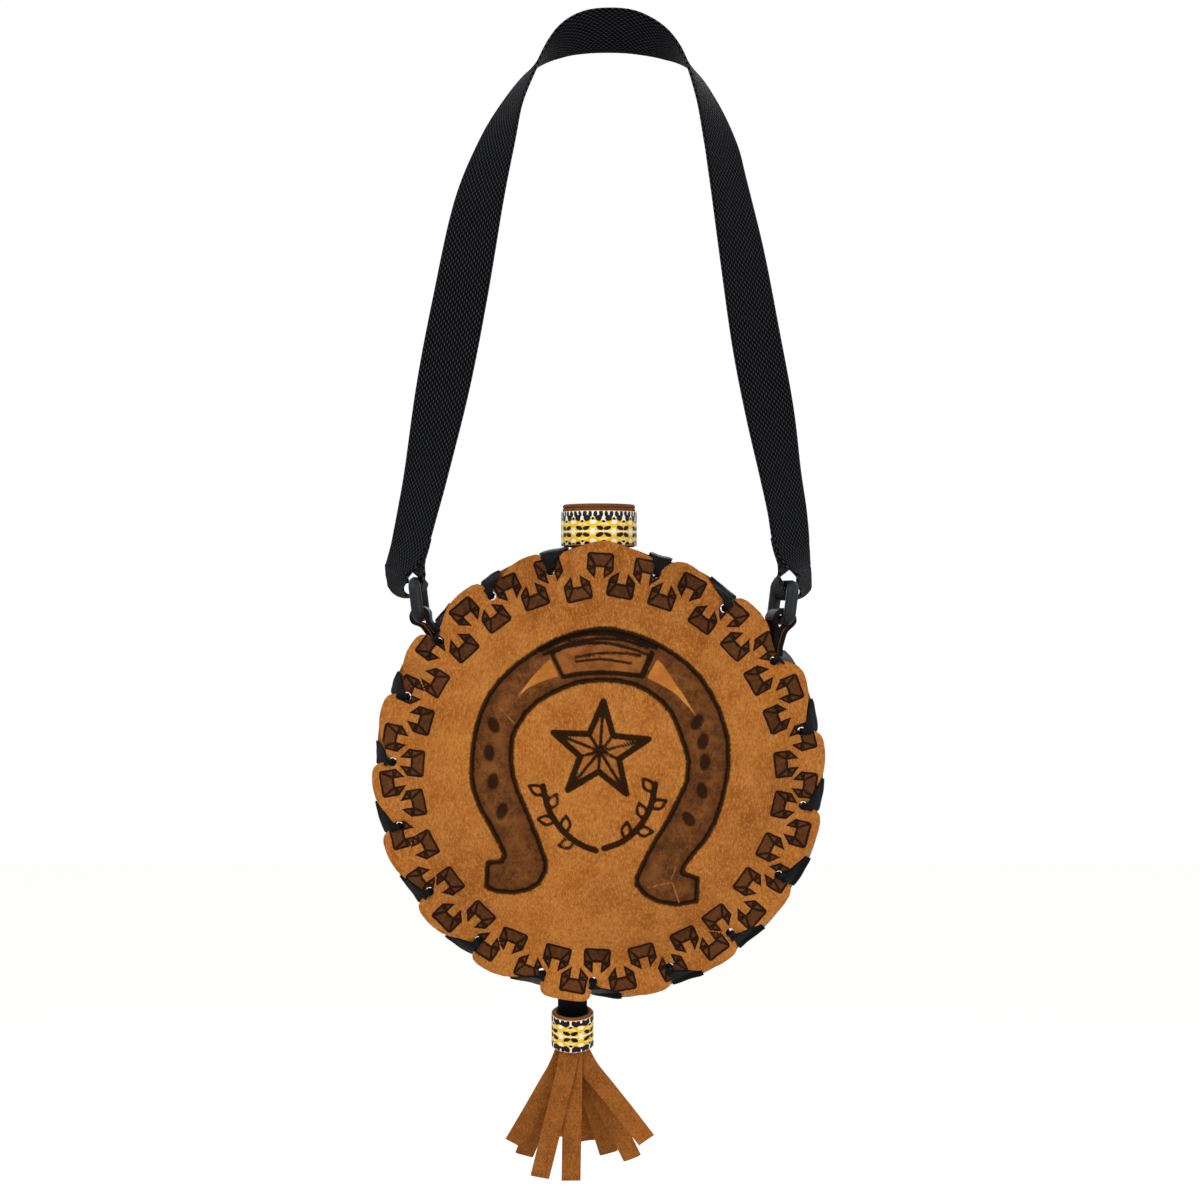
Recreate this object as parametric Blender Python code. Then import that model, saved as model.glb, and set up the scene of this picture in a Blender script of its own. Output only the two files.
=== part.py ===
"""Leather-covered canteen hanging by its shoulder strap.

Metres, +Z up. The origin is the strap's underside at the top of its loop, where the canteen hangs. The front
faces -Y. Clock angles run from the top of the disc, positive to the right as the front is seen.
"""

import bisect
import math

import bmesh
import bpy
from mathutils import Matrix, Vector

# Clearances
CONTACT_GAP = 0.0003
RUNNING_GAP = 0.00035
OVERRUN = 0.002

# Place of the disc's centre under the hang point
CENTRE_X = -0.0005
CENTRE_DROP = 0.3695

# Flask: a flat round bottle with a threaded neck
FLASK_INSET = 0.0070
FLASK_THICKNESS = 0.040
FLASK_WALL = 0.0020
FLASK_SIDES = 48
NECK_RADIUS = 0.0140
NECK_BORE_RADIUS = 0.0105
NECK_ROOT = 0.080
NECK_BEAD_RADIUS = 0.0155
NECK_BEAD_STEP = 0.0009
NECK_BEAD_GAP = 0.0010
NECK_SIDES = 24
THREAD_DEPTH = 0.0011
THREAD_LEAD = 0.0050
THREAD_WIDTH = 0.0016
THREAD_STEPS_PER_TURN = 8
# Radius as a share of the flask's, half thickness as a share of the flask's
FLASK_PROFILE_SHARES = ((0.311, 1.0), (0.520, 0.930), (0.730, 0.720), (0.869, 0.465), (0.9385, 0.290), (0.984, 0.150))

# Cap, measured up from the disc's centre
CAP_BOTTOM = 0.1125
CAP_HEIGHT = 0.0210
CAP_SHELL_RADIUS = 0.0160
CAP_TOP_WALL = 0.0018
CAP_SEAL_THICKNESS = 0.0015
CAP_WRAP_THICKNESS = 0.0017
CAP_BAND_THICKNESS = 0.00045
CAP_BAND_INSET = 0.0005
CAP_RIM_HEIGHT = 0.0035
CAP_DISC_THICKNESS = 0.0016
CAP_DISC_RECESS = 0.0006
CAP_SIDES = 32

# Leather covers
LEATHER_THICKNESS = 0.0022
SCALLOP_NOTCH_RADIUS = 0.106
SCALLOP_PEAK_RADIUS = 0.113
TOP_PEAK_RADIUS = 0.115
BACK_OVERHANG = 0.0008
SCALLOP_STEPS = 4
SCALLOP_ROUNDNESS = 0.7
LACE_RADIUS = 0.103
LACE_HOLE_RADIUS = 0.0022
LACE_HOLE_SIDES = 8
# Clock angles of the lace holes, left side from the top down, then right side from the bottom up
LEFT_HOLES = (-13.5, -31.3, -50.6, -68.4, -87.0, -105.0, -125.1, -144.3, -164.1)
RIGHT_HOLES = (-178.3, -199.9, -219.3, -240.3, -260.8, -281.5, -302.8, -322.6, -343.9)
# Radius as a share of the lace radius, inner face's height as a share of half the flask's thickness
COVER_PROFILE_SHARES = (
    (0.290, 1.020),
    (0.485, 0.955),
    (0.680, 0.745),
    (0.810, 0.495),
    (0.875, 0.345),
    (0.940, 0.205),
    (1.010, 0.135),
    (1.060, 0.125),
)
# The same, where the covers stand open round the cap
COVER_NECK_SHARES = (
    (0.290, 1.020),
    (0.485, 0.965),
    (0.680, 0.850),
    (0.810, 0.830),
    (0.875, 0.860),
    (0.940, 0.910),
    (1.010, 0.960),
    (1.060, 0.980),
)
NECK_OPEN_ANGLES = (0.0, 11.0, 30.0)
LEFT_TAB_OPEN_ANGLES = (-49.5, 6.5, 15.0)
RIGHT_TAB_OPEN_ANGLES = (-306.0, 8.5, 17.0)
TAB_HALF_OPENING = 0.0092
TASSEL_OPEN_ANGLES = (-172.9, 6.0, 14.0)
TASSEL_HALF_OPENING = 0.0078

# Rim lacing: one satin ribbon
RIBBON_THICKNESS = 0.0008
RIBBON_HALF_WIDTH = 0.0040
RIBBON_HOLE_HALF_WIDTH = 0.0015
RIBBON_CLEARANCE = 0.0005
RIBBON_REACH = 0.0055
LACE_TURN = 0.0012
LACE_SLANT = 5.0
LACE_SLANT_AT_LEFT_TAB = 10.0
LACE_SLANT_AT_RIGHT_TAB = 14.0
LACE_SLANT_AT_CAP = 1.5
LACE_EDGE_SLANT = 2.0
STITCH_FRONT_SHARES = (0.35, 0.75)
STITCH_BACK_SHARES = (0.3, 0.6, 0.85)
END_WIDTH_SHARE = 0.7

# Rings
RING_BAR_RADIUS = 0.0023
RING_BAR_PITCH = 0.0174
RING_UPRIGHT_HALF_THICKNESS = 0.0030
RING_UPRIGHT_HALF_WIDTH = 0.0026
RING_SLOT_CLEARANCE = 0.0006
RING_CORNER_RADIUS = 0.0035
RING_LEAN = 7.0
RING_SIDES = 10
RING_CORNER_STEPS = 3
LEFT_RING_CENTRE = (-0.09035, -0.28315)
RIGHT_RING_CENTRE = (0.0913, -0.2848)
LEFT_RING_TOE = 0.0
RIGHT_RING_TOE = 8.0

# Strap
STRAP_WIDTH = 0.030
STRAP_THICKNESS = 0.0016
STRAP_HALF_SPAN = 0.100
STRAP_DROP = 0.2765
STRAP_LOOP_RADIUS = 0.0065
STRAP_LOOP_SAG = 8.0
STRAP_STEPS = 2
STRAP_LOOP_STEPS = 8
# Across as a share of the half span, down as a share of the drop, twist in degrees of the front edge outward
STRAP_ROUTE_SHARES = (
    (-1.022, 0.9765, -9),
    (-0.978, 0.9458, -27),
    (-0.947, 0.9168, -39),
    (-0.910, 0.8608, -46),
    (-0.870, 0.7957, -51),
    (-0.786, 0.6401, -66),
    (-0.702, 0.4828, -68),
    (-0.610, 0.3110, -58),
    (-0.520, 0.2007, -42),
    (-0.440, 0.1266, -25),
    (-0.325, 0.0597, -11),
    (-0.200, 0.0188, 12),
    (-0.080, 0.0000, 26),
    (0.050, -0.0045, 30),
    (0.180, 0.0004, 27),
    (0.325, 0.0217, 12),
    (0.4475, 0.0597, -11),
    (0.540, 0.1266, -25),
    (0.605, 0.2007, -37),
    (0.638, 0.2586, -42),
    (0.710, 0.3978, -52),
    (0.782, 0.5552, -60),
    (0.850, 0.6872, -58),
    (0.902, 0.7957, -49),
    (0.935, 0.8608, -45),
    (0.956, 0.9168, -40),
    (0.982, 0.9458, -26),
    (1.020, 0.9765, -4),
)
# Tails, from the loop up: across and down as above, then the front edge's turn toward the canteen
LEFT_TAIL_SHARES = ((-0.884, 0.9838, 0), (-0.905, 0.9690, 8), (-0.924, 0.9476, 26), (-0.9290, 0.9175, 39))
RIGHT_TAIL_SHARES = ((0.888, 0.9855, -8), (0.911, 0.9690, 5), (0.929, 0.9476, 26), (0.9375, 0.9175, 39))

# Tabs: leather folded over the ring's lower bar and the lacing, with ribbon over it
TAB_LEATHER_THICKNESS = 0.0018
TAB_RIBBON_THICKNESS = 0.0005
TAB_BAR_HALF_WIDTH = 0.0090
TAB_RIM_HALF_WIDTH = 0.0065
TAB_LACE_CLEARANCE_RADIUS = 0.00195
OPEN_PIVOT_CLEARANCE = 0.0007
TAB_ARC_STEPS = 8

# Tassel, hung from the lacing's inner run between the two lowest holes
TASSEL_X = -0.0138
TASSEL_TILT = 12.0
TASSEL_LOOP_HALF_WIDTH = 0.0073
TASSEL_LOOP_THICKNESS = 0.0008
TASSEL_LOOP_RADIUS = 0.0022
TASSEL_LOOP_LENGTH = 0.0270
TASSEL_LEG_SPREAD = 0.0011
COLLAR_DROP = 0.0195
COLLAR_RADIUS = 0.0098
COLLAR_THICKNESS = 0.0018
COLLAR_HEIGHT = 0.0184
COLLAR_BAND_THICKNESS = 0.0004
COLLAR_BAND_INSET = 0.0009
COLLAR_SIDES = 24
CORE_LENGTH = 0.0085
STRIP_WIDTH = 0.0096
STRIP_THICKNESS = 0.0012
STRIP_PITCH = 0.00152
STRIP_LENGTH = 0.0690
STRIP_HIDDEN_LENGTH = 0.0020
STRIP_STEPS = 6
STRIP_BEND_STEPS = 2
# From front to back: sideways lean, lean to the back, both in degrees, and length as a share
STRIP_LEAN_SHARES = (
    (-15.5, -12.0, 0.975),
    (-1.0, -10.0, 1.0),
    (41.5, -6.0, 0.88),
    (-32.0, -3.0, 0.87),
    (27.0, 1.0, 1.02),
    (-22.5, 5.0, 1.01),
    (16.5, 9.0, 1.02),
    (6.0, 12.5, 0.94),
    (-8.0, 16.0, 0.94),
)

FLASK_RADIUS = LACE_RADIUS - FLASK_INSET
HALF_FLASK = FLASK_THICKNESS / 2
HALF_STRAP = STRAP_WIDTH / 2
UP = Vector((0, 0, 1))
BACK = Vector((0, 1, 0))


def material(name, color, roughness, metallic=0.0):
    made = bpy.data.materials.new(name)
    made.use_nodes = True
    shader = made.node_tree.nodes["Principled BSDF"]
    shader.inputs["Base Color"].default_value = (*color, 1.0)
    shader.inputs["Roughness"].default_value = roughness
    shader.inputs["Metallic"].default_value = metallic
    return made


def empty(name, place, parent=None):
    """A pivot that carries one body, at its joint."""
    pivot = bpy.data.objects.new(name, None)
    bpy.context.collection.objects.link(pivot)
    pivot["place"] = place
    if parent:
        pivot.parent = parent
        pivot.location = Vector(place) - Vector(parent["place"])
    else:
        pivot.location = place
    return pivot


def solid(name, points, faces, look, pivot, smooth_below=math.radians(40)):
    """One closed mesh given in world places, carried by its pivot."""
    mesh = bpy.data.meshes.new(name)
    mesh.from_pydata([Vector(p) - Vector(pivot["place"]) for p in points], [], faces)
    shape = bmesh.new()
    shape.from_mesh(mesh)
    bmesh.ops.recalc_face_normals(shape, faces=shape.faces)
    shape.to_mesh(mesh)
    shape.free()
    mesh.shade_smooth()
    mesh.set_sharp_from_angle(angle=smooth_below)
    made = bpy.data.objects.new(name, mesh)
    bpy.context.collection.objects.link(made)
    made.data.materials.append(look)
    made.parent = pivot
    return made


def cutter(made):
    made.hide_render = True
    made.display_type = "WIRE"
    return made


def boolean(made, other, operation):
    step = made.modifiers.new(f"{operation} {other.name}", "BOOLEAN")
    step.object = other
    step.operation = operation
    step.solver = "EXACT"


def lathe(rings, sides, centre, axis="Z", closed=False):
    """Points and faces of a turned shape. rings holds (radius, height) down the profile; a closed profile is a tube."""
    points, faces, rows = [], [], []
    for radius, height in rings:
        row = []
        for k in range(1 if radius == 0 else sides):
            turn = 2 * math.pi * k / sides
            flat = (radius * math.cos(turn), radius * math.sin(turn))
            spot = (flat[0], flat[1], height) if axis == "Z" else (flat[0], height, flat[1])
            row.append(len(points))
            points.append(Vector(centre) + Vector(spot))
        rows.append(row)
    pairs = list(zip(rows, rows[1:]))
    if closed:
        pairs.append((rows[-1], rows[0]))
    for upper, lower in pairs:
        for k in range(sides):
            corners = [upper[k % len(upper)], upper[(k + 1) % len(upper)]]
            corners += [lower[(k + 1) % len(lower)], lower[k % len(lower)]]
            corners = list(dict.fromkeys(corners))
            if len(corners) > 2:
                faces.append(corners)
    return points, faces


def directions(places):
    """Unit tangents along a run of places."""
    befores = [places[0], *places[:-1]]
    afters = [*places[1:], places[-1]]
    return [(after - before).normalized() for before, after in zip(befores, afters)]


def strip(centres, widths, normals, half_widths, half_thickness):
    """A flat band with closed ends: its corners are half a width along widths and half a thickness along normals."""
    points, faces = [], []
    for centre, wide, normal, half in zip(centres, widths, normals, half_widths):
        for across, through in ((1, 1), (-1, 1), (-1, -1), (1, -1)):
            points.append(centre + across * half * wide + through * half_thickness * normal)
    for k in range(len(centres) - 1):
        for side in range(4):
            turn = (side + 1) % 4
            faces.append([4 * k + side, 4 * k + turn, 4 * k + 4 + turn, 4 * k + 4 + side])
    last = 4 * len(centres) - 4
    faces += [[0, 1, 2, 3], [last + 3, last + 2, last + 1, last]]
    return points, faces


def curve_through(rows, steps):
    """Rows of a table joined by a Catmull-Rom curve, with steps spans between each two."""
    ends = [rows[0], *rows, rows[-1]]
    found = []
    for k in range(len(rows) - 1):
        a, b, c, d = ends[k : k + 4]
        for step in range(steps):
            t = step / steps
            found.append(
                [
                    0.5 * (2 * q + (r - p) * t + (2 * p - 5 * q + 4 * r - s) * t**2 + (3 * q - p - 3 * r + s) * t**3)
                    for p, q, r, s in zip(a, b, c, d)
                ]
            )
    return [*found, list(rows[-1])]


def along(table, share):
    """Value of a two-column table at a share, held level past its ends."""
    keys = [row[0] for row in table]
    if share <= keys[0]:
        return table[0][1]
    if share >= keys[-1]:
        return table[-1][1]
    k = bisect.bisect_right(keys, share)
    part = (share - keys[k - 1]) / (keys[k] - keys[k - 1])
    return table[k - 1][1] + part * (table[k][1] - table[k - 1][1])


def window(angle, middle, full, fade):
    """1 within full degrees of the middle, 0 past fade degrees, smooth between."""
    away = abs((angle - middle + 180) % 360 - 180)
    part = min(max((fade - away) / (fade - full), 0), 1)
    return part * part * (3 - 2 * part)


def on_clock(radius, angle, depth=0.0):
    turn = math.radians(angle)
    return Vector((CENTRE_X + radius * math.sin(turn), depth, -CENTRE_DROP + radius * math.cos(turn)))


def radial(angle):
    turn = math.radians(angle)
    return Vector((math.sin(turn), 0, math.cos(turn)))


LEFT_TAB_HOLE = LEFT_HOLES[2]
RIGHT_TAB_HOLE = RIGHT_HOLES[6]


def cover_height(radius, angle):
    """How far a cover's inner face stands off the middle plane."""
    share = radius / LACE_RADIUS
    height = along(COVER_PROFILE_SHARES, share) * HALF_FLASK
    open_height = along(COVER_NECK_SHARES, share) * HALF_FLASK
    height += window(angle, *NECK_OPEN_ANGLES) * max(0, open_height - height)
    for open_angles in (LEFT_TAB_OPEN_ANGLES, RIGHT_TAB_OPEN_ANGLES):
        height += window(angle, *open_angles) * max(0, TAB_HALF_OPENING - height)
    height += window(angle, *TASSEL_OPEN_ANGLES) * max(0, TASSEL_HALF_OPENING - height)
    return height


HOLES_ROUND = sorted([*LEFT_HOLES, *(angle + 360 for angle in RIGHT_HOLES)])
WIDEST_SCALLOP = (LEFT_HOLES[0], RIGHT_HOLES[-1] + 360)


def edge_radius(angle):
    """Radius of the scalloped edge at a clock angle."""
    turned = (angle - HOLES_ROUND[0]) % 360 + HOLES_ROUND[0]
    k = bisect.bisect_right(HOLES_ROUND, turned) - 1
    start = HOLES_ROUND[k]
    end = HOLES_ROUND[k + 1] if k + 1 < len(HOLES_ROUND) else HOLES_ROUND[0] + 360
    peak = TOP_PEAK_RADIUS if (start, end) == WIDEST_SCALLOP else SCALLOP_PEAK_RADIUS
    bulge = math.sin(math.pi * (turned - start) / (end - start))
    return SCALLOP_NOTCH_RADIUS + (peak - SCALLOP_NOTCH_RADIUS) * max(bulge, 0) ** SCALLOP_ROUNDNESS


def scallop_angles():
    found = []
    for start, end in zip(HOLES_ROUND, [*HOLES_ROUND[1:], HOLES_ROUND[0] + 360]):
        found += [start + (end - start) * step / SCALLOP_STEPS for step in range(SCALLOP_STEPS)]
    return found


def build_flask(look, pivot):
    centre = (CENTRE_X, 0, -CENTRE_DROP)

    def lens(radius, half, name):
        shares = FLASK_PROFILE_SHARES
        rings = [(0, half), *((radius * r, half * h) for r, h in shares), (radius, 0)]
        rings += [*((radius * r, -half * h) for r, h in reversed(shares)), (0, -half)]
        return solid(name, *lathe(rings, FLASK_SIDES, centre, "Y"), look, pivot)

    flask = lens(FLASK_RADIUS, HALF_FLASK, "flask_body")
    neck = cutter(solid("neck_tool", *threaded_neck(centre), look, pivot))
    cavity = cutter(lens(FLASK_RADIUS - FLASK_WALL, HALF_FLASK - FLASK_WALL, "cavity_tool"))
    bore_rings = [(0, NECK_TOP + OVERRUN), (NECK_BORE_RADIUS, NECK_TOP + OVERRUN)]
    bore_rings += [(NECK_BORE_RADIUS, NECK_ROOT - OVERRUN), (0, NECK_ROOT - OVERRUN)]
    bore = cutter(solid("bore_tool", *lathe(bore_rings, NECK_SIDES, centre), look, pivot))
    boolean(flask, neck, "UNION")
    boolean(flask, cavity, "DIFFERENCE")
    boolean(flask, bore, "DIFFERENCE")


CAP_SHELL_TOP = CAP_BOTTOM + CAP_HEIGHT - CAP_DISC_THICKNESS - CAP_DISC_RECESS - CONTACT_GAP
SEAL_TOP = CAP_SHELL_TOP - CAP_TOP_WALL - CONTACT_GAP
NECK_TOP = SEAL_TOP - CAP_SEAL_THICKNESS - CONTACT_GAP
BEAD_TOP = CAP_BOTTOM - NECK_BEAD_GAP
THREAD_START = CAP_BOTTOM + THREAD_WIDTH
CAP_THREAD_CREST = NECK_RADIUS - THREAD_DEPTH + RUNNING_GAP
CAP_THREAD_ROOT = NECK_RADIUS + RUNNING_GAP


def ridge(height, turn, ramp_end):
    """How far a thread stands, 0 to 1, at a height and a turn in radians."""
    phase = ((height - THREAD_LEAD * turn / (2 * math.pi)) / THREAD_LEAD) % 1
    away = abs(phase - 0.5) * THREAD_LEAD
    flank = min(max((THREAD_WIDTH - away) / THREAD_WIDTH * 2, 0), 1)
    run_out = min(max((ramp_end - height) / THREAD_WIDTH, 0), max((height - THREAD_START) / THREAD_WIDTH, 0), 1)
    return flank * run_out


def threaded_rows(low, high, radius_at):
    """Rows of a cylinder whose radius follows radius_at(height, turn)."""
    count = max(2, round((high - low) / THREAD_LEAD * THREAD_STEPS_PER_TURN))
    rows = []
    for step in range(count + 1):
        height = low + (high - low) * step / count
        row = []
        for k in range(NECK_SIDES):
            turn = 2 * math.pi * k / NECK_SIDES
            radius = radius_at(height, turn)
            row.append(Vector((radius * math.cos(turn), radius * math.sin(turn), height)))
        rows.append(row)
    return rows


def plain_row(radius, height):
    turns = (2 * math.pi * k / NECK_SIDES for k in range(NECK_SIDES))
    return [Vector((radius * math.cos(turn), radius * math.sin(turn), height)) for turn in turns]


def rows_to_solid(rows, centre, caps=True):
    """Rows of equal length joined into a closed shape, with flat ends, or with the last row joined to the first."""
    sides = len(rows[0])
    points = [Vector(centre) + spot for row in rows for spot in row]
    faces = []
    pairs = [(k, k + 1) for k in range(len(rows) - 1)]
    if not caps:
        pairs.append((len(rows) - 1, 0))
    for a, b in pairs:
        for k in range(sides):
            turn = (k + 1) % sides
            faces.append([a * sides + k, a * sides + turn, b * sides + turn, b * sides + k])
    if caps:
        faces.append(list(reversed(range(sides))))
        faces.append(list(range((len(rows) - 1) * sides, len(rows) * sides)))
    return points, faces


def threaded_neck(centre):
    root_radius = NECK_RADIUS - THREAD_DEPTH
    end = NECK_TOP - THREAD_WIDTH

    def radius_at(height, turn):
        return root_radius + THREAD_DEPTH * ridge(height, turn, end)

    rows = [plain_row(NECK_RADIUS, NECK_ROOT)]
    bead = ((NECK_RADIUS, 4), (NECK_BEAD_RADIUS, 3), (NECK_BEAD_RADIUS, 1), (NECK_RADIUS, 0))
    rows += [plain_row(radius, BEAD_TOP - NECK_BEAD_STEP * steps) for radius, steps in bead]
    rows += threaded_rows(THREAD_START, end, radius_at)
    rows.append(plain_row(root_radius, NECK_TOP))
    return rows_to_solid(rows, centre)


def build_cap(looks, pivot, seal_pivot):
    centre = Vector((CENTRE_X, 0, -CENTRE_DROP))
    inner_top = SEAL_TOP + CONTACT_GAP
    end = NECK_TOP - THREAD_WIDTH

    def radius_at(height, turn):
        meshed = ridge(height, turn + math.pi, end)
        return CAP_THREAD_ROOT - (CAP_THREAD_ROOT - CAP_THREAD_CREST) * meshed

    bottom = CAP_BOTTOM + CAP_BAND_INSET
    rows = [plain_row(CAP_SHELL_RADIUS, CAP_SHELL_TOP), plain_row(CAP_SHELL_RADIUS, bottom)]
    rows.append(plain_row(CAP_THREAD_ROOT, bottom))
    rows += threaded_rows(THREAD_START, end, radius_at)
    rows.append(plain_row(CAP_THREAD_ROOT, inner_top))
    solid("cap_shell", *rows_to_solid(rows, centre), looks["black_plastic"], pivot)

    seal_radius = CAP_THREAD_ROOT - RUNNING_GAP
    seal = [(0, SEAL_TOP), (seal_radius, SEAL_TOP)]
    seal += [(seal_radius, SEAL_TOP - CAP_SEAL_THICKNESS), (0, SEAL_TOP - CAP_SEAL_THICKNESS)]
    solid("cap_seal", *lathe(seal, NECK_SIDES, centre), looks["seal"], seal_pivot)

    def sleeve(name, inner, outer, low, high, look):
        rings = [(outer, high), (outer, low), (inner, low), (inner, high)]
        solid(name, *lathe(rings, CAP_SIDES, centre, closed=True), look, pivot)

    wrap_inner = (CAP_SHELL_RADIUS + CONTACT_GAP) / math.cos(math.pi / CAP_SIDES)
    wrap_outer = wrap_inner + CAP_WRAP_THICKNESS
    top = CAP_BOTTOM + CAP_HEIGHT
    sleeve("cap_leather_wrap", wrap_inner, wrap_outer, CAP_BOTTOM, top, looks["leather"])
    band_inner = (wrap_outer + CONTACT_GAP) / math.cos(math.pi / CAP_SIDES)
    band_low, band_high = CAP_BOTTOM + CAP_BAND_INSET, top - CAP_RIM_HEIGHT
    sleeve("cap_ribbon_band", band_inner, band_inner + CAP_BAND_THICKNESS, band_low, band_high, looks["printed_ribbon"])
    disc_radius = CAP_SHELL_RADIUS
    disc_top = top - CAP_DISC_RECESS
    disc = [(0, disc_top), (disc_radius, disc_top)]
    disc += [(disc_radius, disc_top - CAP_DISC_THICKNESS), (0, disc_top - CAP_DISC_THICKNESS)]
    solid("cap_top_leather", *lathe(disc, CAP_SIDES, centre), looks["leather"], pivot)


def build_covers(look, pivot):
    angles = scallop_angles()
    shares = [row[0] for row in COVER_PROFILE_SHARES[:-1]]
    punch = cutter(lace_punch(look, pivot))
    for name, side, overhang in (("front_cover", -1, 0.0), ("back_cover", 1, BACK_OVERHANG)):
        points, rows = [], []
        for lift in (0.0, LEATHER_THICKNESS):
            middle = side * (cover_height(0, 0) + lift)
            rows.append([len(points)])
            points.append(on_clock(0, 0, middle))
            for share in [*shares, None]:
                row = []
                for angle in angles:
                    radius = LACE_RADIUS * share if share else edge_radius(angle) + overhang
                    row.append(len(points))
                    points.append(on_clock(radius, angle, side * (cover_height(radius, angle) + lift)))
                rows.append(row)
        half = len(rows) // 2
        order = rows[:half] + rows[: half - 1 : -1]
        faces = []
        for a, b in zip(order, order[1:]):
            for k in range(len(angles)):
                turn = (k + 1) % len(angles)
                corners = [a[k % len(a)], a[turn % len(a)], b[turn % len(b)], b[k % len(b)]]
                faces.append(list(dict.fromkeys(corners)))
        boolean(solid(name, points, faces, look, pivot), punch, "DIFFERENCE")


def lace_punch(look, pivot):
    """All lace holes as one cutter."""
    depth = HALF_FLASK + LEATHER_THICKNESS + OVERRUN
    points, faces = [], []
    for angle in HOLES_ROUND:
        hole = [(0, depth), (LACE_HOLE_RADIUS, depth), (LACE_HOLE_RADIUS, -depth), (0, -depth)]
        more, sides = lathe(hole, LACE_HOLE_SIDES, on_clock(LACE_RADIUS, angle), "Y")
        faces += [[corner + len(points) for corner in face] for face in sides]
        points += more
    return solid("lace_punch", points, faces, look, pivot)


RIBBON_LIFT = LEATHER_THICKNESS + RIBBON_CLEARANCE + RIBBON_THICKNESS / 2


def clear_height(radius, angle):
    """Height at which a flat ribbon clears a cover's outer face all under it."""
    reach = math.degrees(RIBBON_REACH / LACE_RADIUS)
    spots = [(r, a) for r in (radius - RIBBON_HALF_WIDTH, radius) for a in (angle - reach, angle, angle + reach)]
    return max(cover_height(r, a) for r, a in spots) + RIBBON_LIFT


def ribbon_on_cover(side, radius, angle):
    """Where the ribbon lies on a cover's outer face, and the outward direction there."""
    return on_clock(radius, angle, side * clear_height(radius, angle)), side * BACK


def clockwise(angle):
    turn = math.radians(angle)
    return Vector((math.cos(turn), 0, -math.sin(turn)))


def widest_edge(angle, half):
    """The largest edge radius under a ribbon that crosses the edge at a clock angle."""
    reach = math.degrees(half / SCALLOP_PEAK_RADIUS)
    return max(edge_radius(angle + reach * share) for share in (-1, 0, 1))


def stitch(rows, hole, slant, next_hole):
    """Adds one stitch: out of a front hole, slanting over the edge, and on the back to the next hole or to an end.

    A row is a place, the outward normal, the width's direction or None where it follows the run, and half a width.
    """
    wide, narrow = RIBBON_HALF_WIDTH, RIBBON_HOLE_HALF_WIDTH
    if abs(slant) < LACE_SLANT:
        wide *= END_WIDTH_SHARE
    crossing = hole + slant
    landed = crossing + math.copysign(LACE_EDGE_SLANT, slant)
    for share in STITCH_FRONT_SHARES:
        radius = LACE_RADIUS + share * (edge_radius(crossing) - LACE_RADIUS)
        place, normal = ribbon_on_cover(-1, radius, hole + share * slant)
        rows.append((place, normal, None, narrow + share * (wide - narrow)))
    for angle, side, overhang in ((crossing, -1, 0.0), (landed, 1, BACK_OVERHANG)):
        rim = widest_edge(angle, wide) + overhang + RIBBON_CLEARANCE
        height = side * clear_height(rim, angle)
        out, across = radial(angle), -clockwise(angle)
        corner = (out + side * BACK).normalized()
        turn = [
            (on_clock(rim, angle, height), corner, across, wide),
            (on_clock(rim + RIBBON_THICKNESS, angle, height - side * LACE_TURN), out, across, wide),
        ]
        rows += turn if side < 0 else reversed(turn)
    if next_hole is None:
        place, normal = ribbon_on_cover(1, LACE_RADIUS, landed)
        rows.append((place, normal, -clockwise(landed), wide))
        return
    start = SCALLOP_NOTCH_RADIUS
    place, normal = ribbon_on_cover(1, start, landed)
    rows.append((place, normal, -clockwise(landed), wide))
    for share in STITCH_BACK_SHARES:
        angle = landed + share * (next_hole - landed)
        radius = start + share * (LACE_RADIUS - start)
        half = wide + share * (narrow - wide)
        place, normal = ribbon_on_cover(1, radius, angle)
        rows.append((place, normal, None, half))
    through_holes(rows, next_hole)


def through_holes(rows, hole, starts_inside=False):
    """Adds the run through a pair of holes from back to front, or from the middle to the front."""
    narrow, across = RIBBON_HOLE_HALF_WIDTH, -clockwise(hole)
    inward = -radial(hole)
    height = clear_height(LACE_RADIUS, hole)
    if not starts_inside:
        rows.append((on_clock(LACE_RADIUS, hole, height), (BACK + inward).normalized(), across, narrow))
        rows.append((on_clock(LACE_RADIUS, hole, height - LACE_TURN), inward, across, narrow))
    rows.append((on_clock(LACE_RADIUS, hole, LACE_TURN - height), inward, across, narrow))
    rows.append((on_clock(LACE_RADIUS, hole, -height), (inward - BACK).normalized(), across, narrow))


LACE_SLANTS = {
    LEFT_TAB_HOLE: LACE_SLANT_AT_LEFT_TAB,
    RIGHT_TAB_HOLE: LACE_SLANT_AT_RIGHT_TAB,
    LEFT_HOLES[0]: LACE_SLANT_AT_CAP,
    RIGHT_HOLES[-1]: LACE_SLANT_AT_CAP,
}


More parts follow.
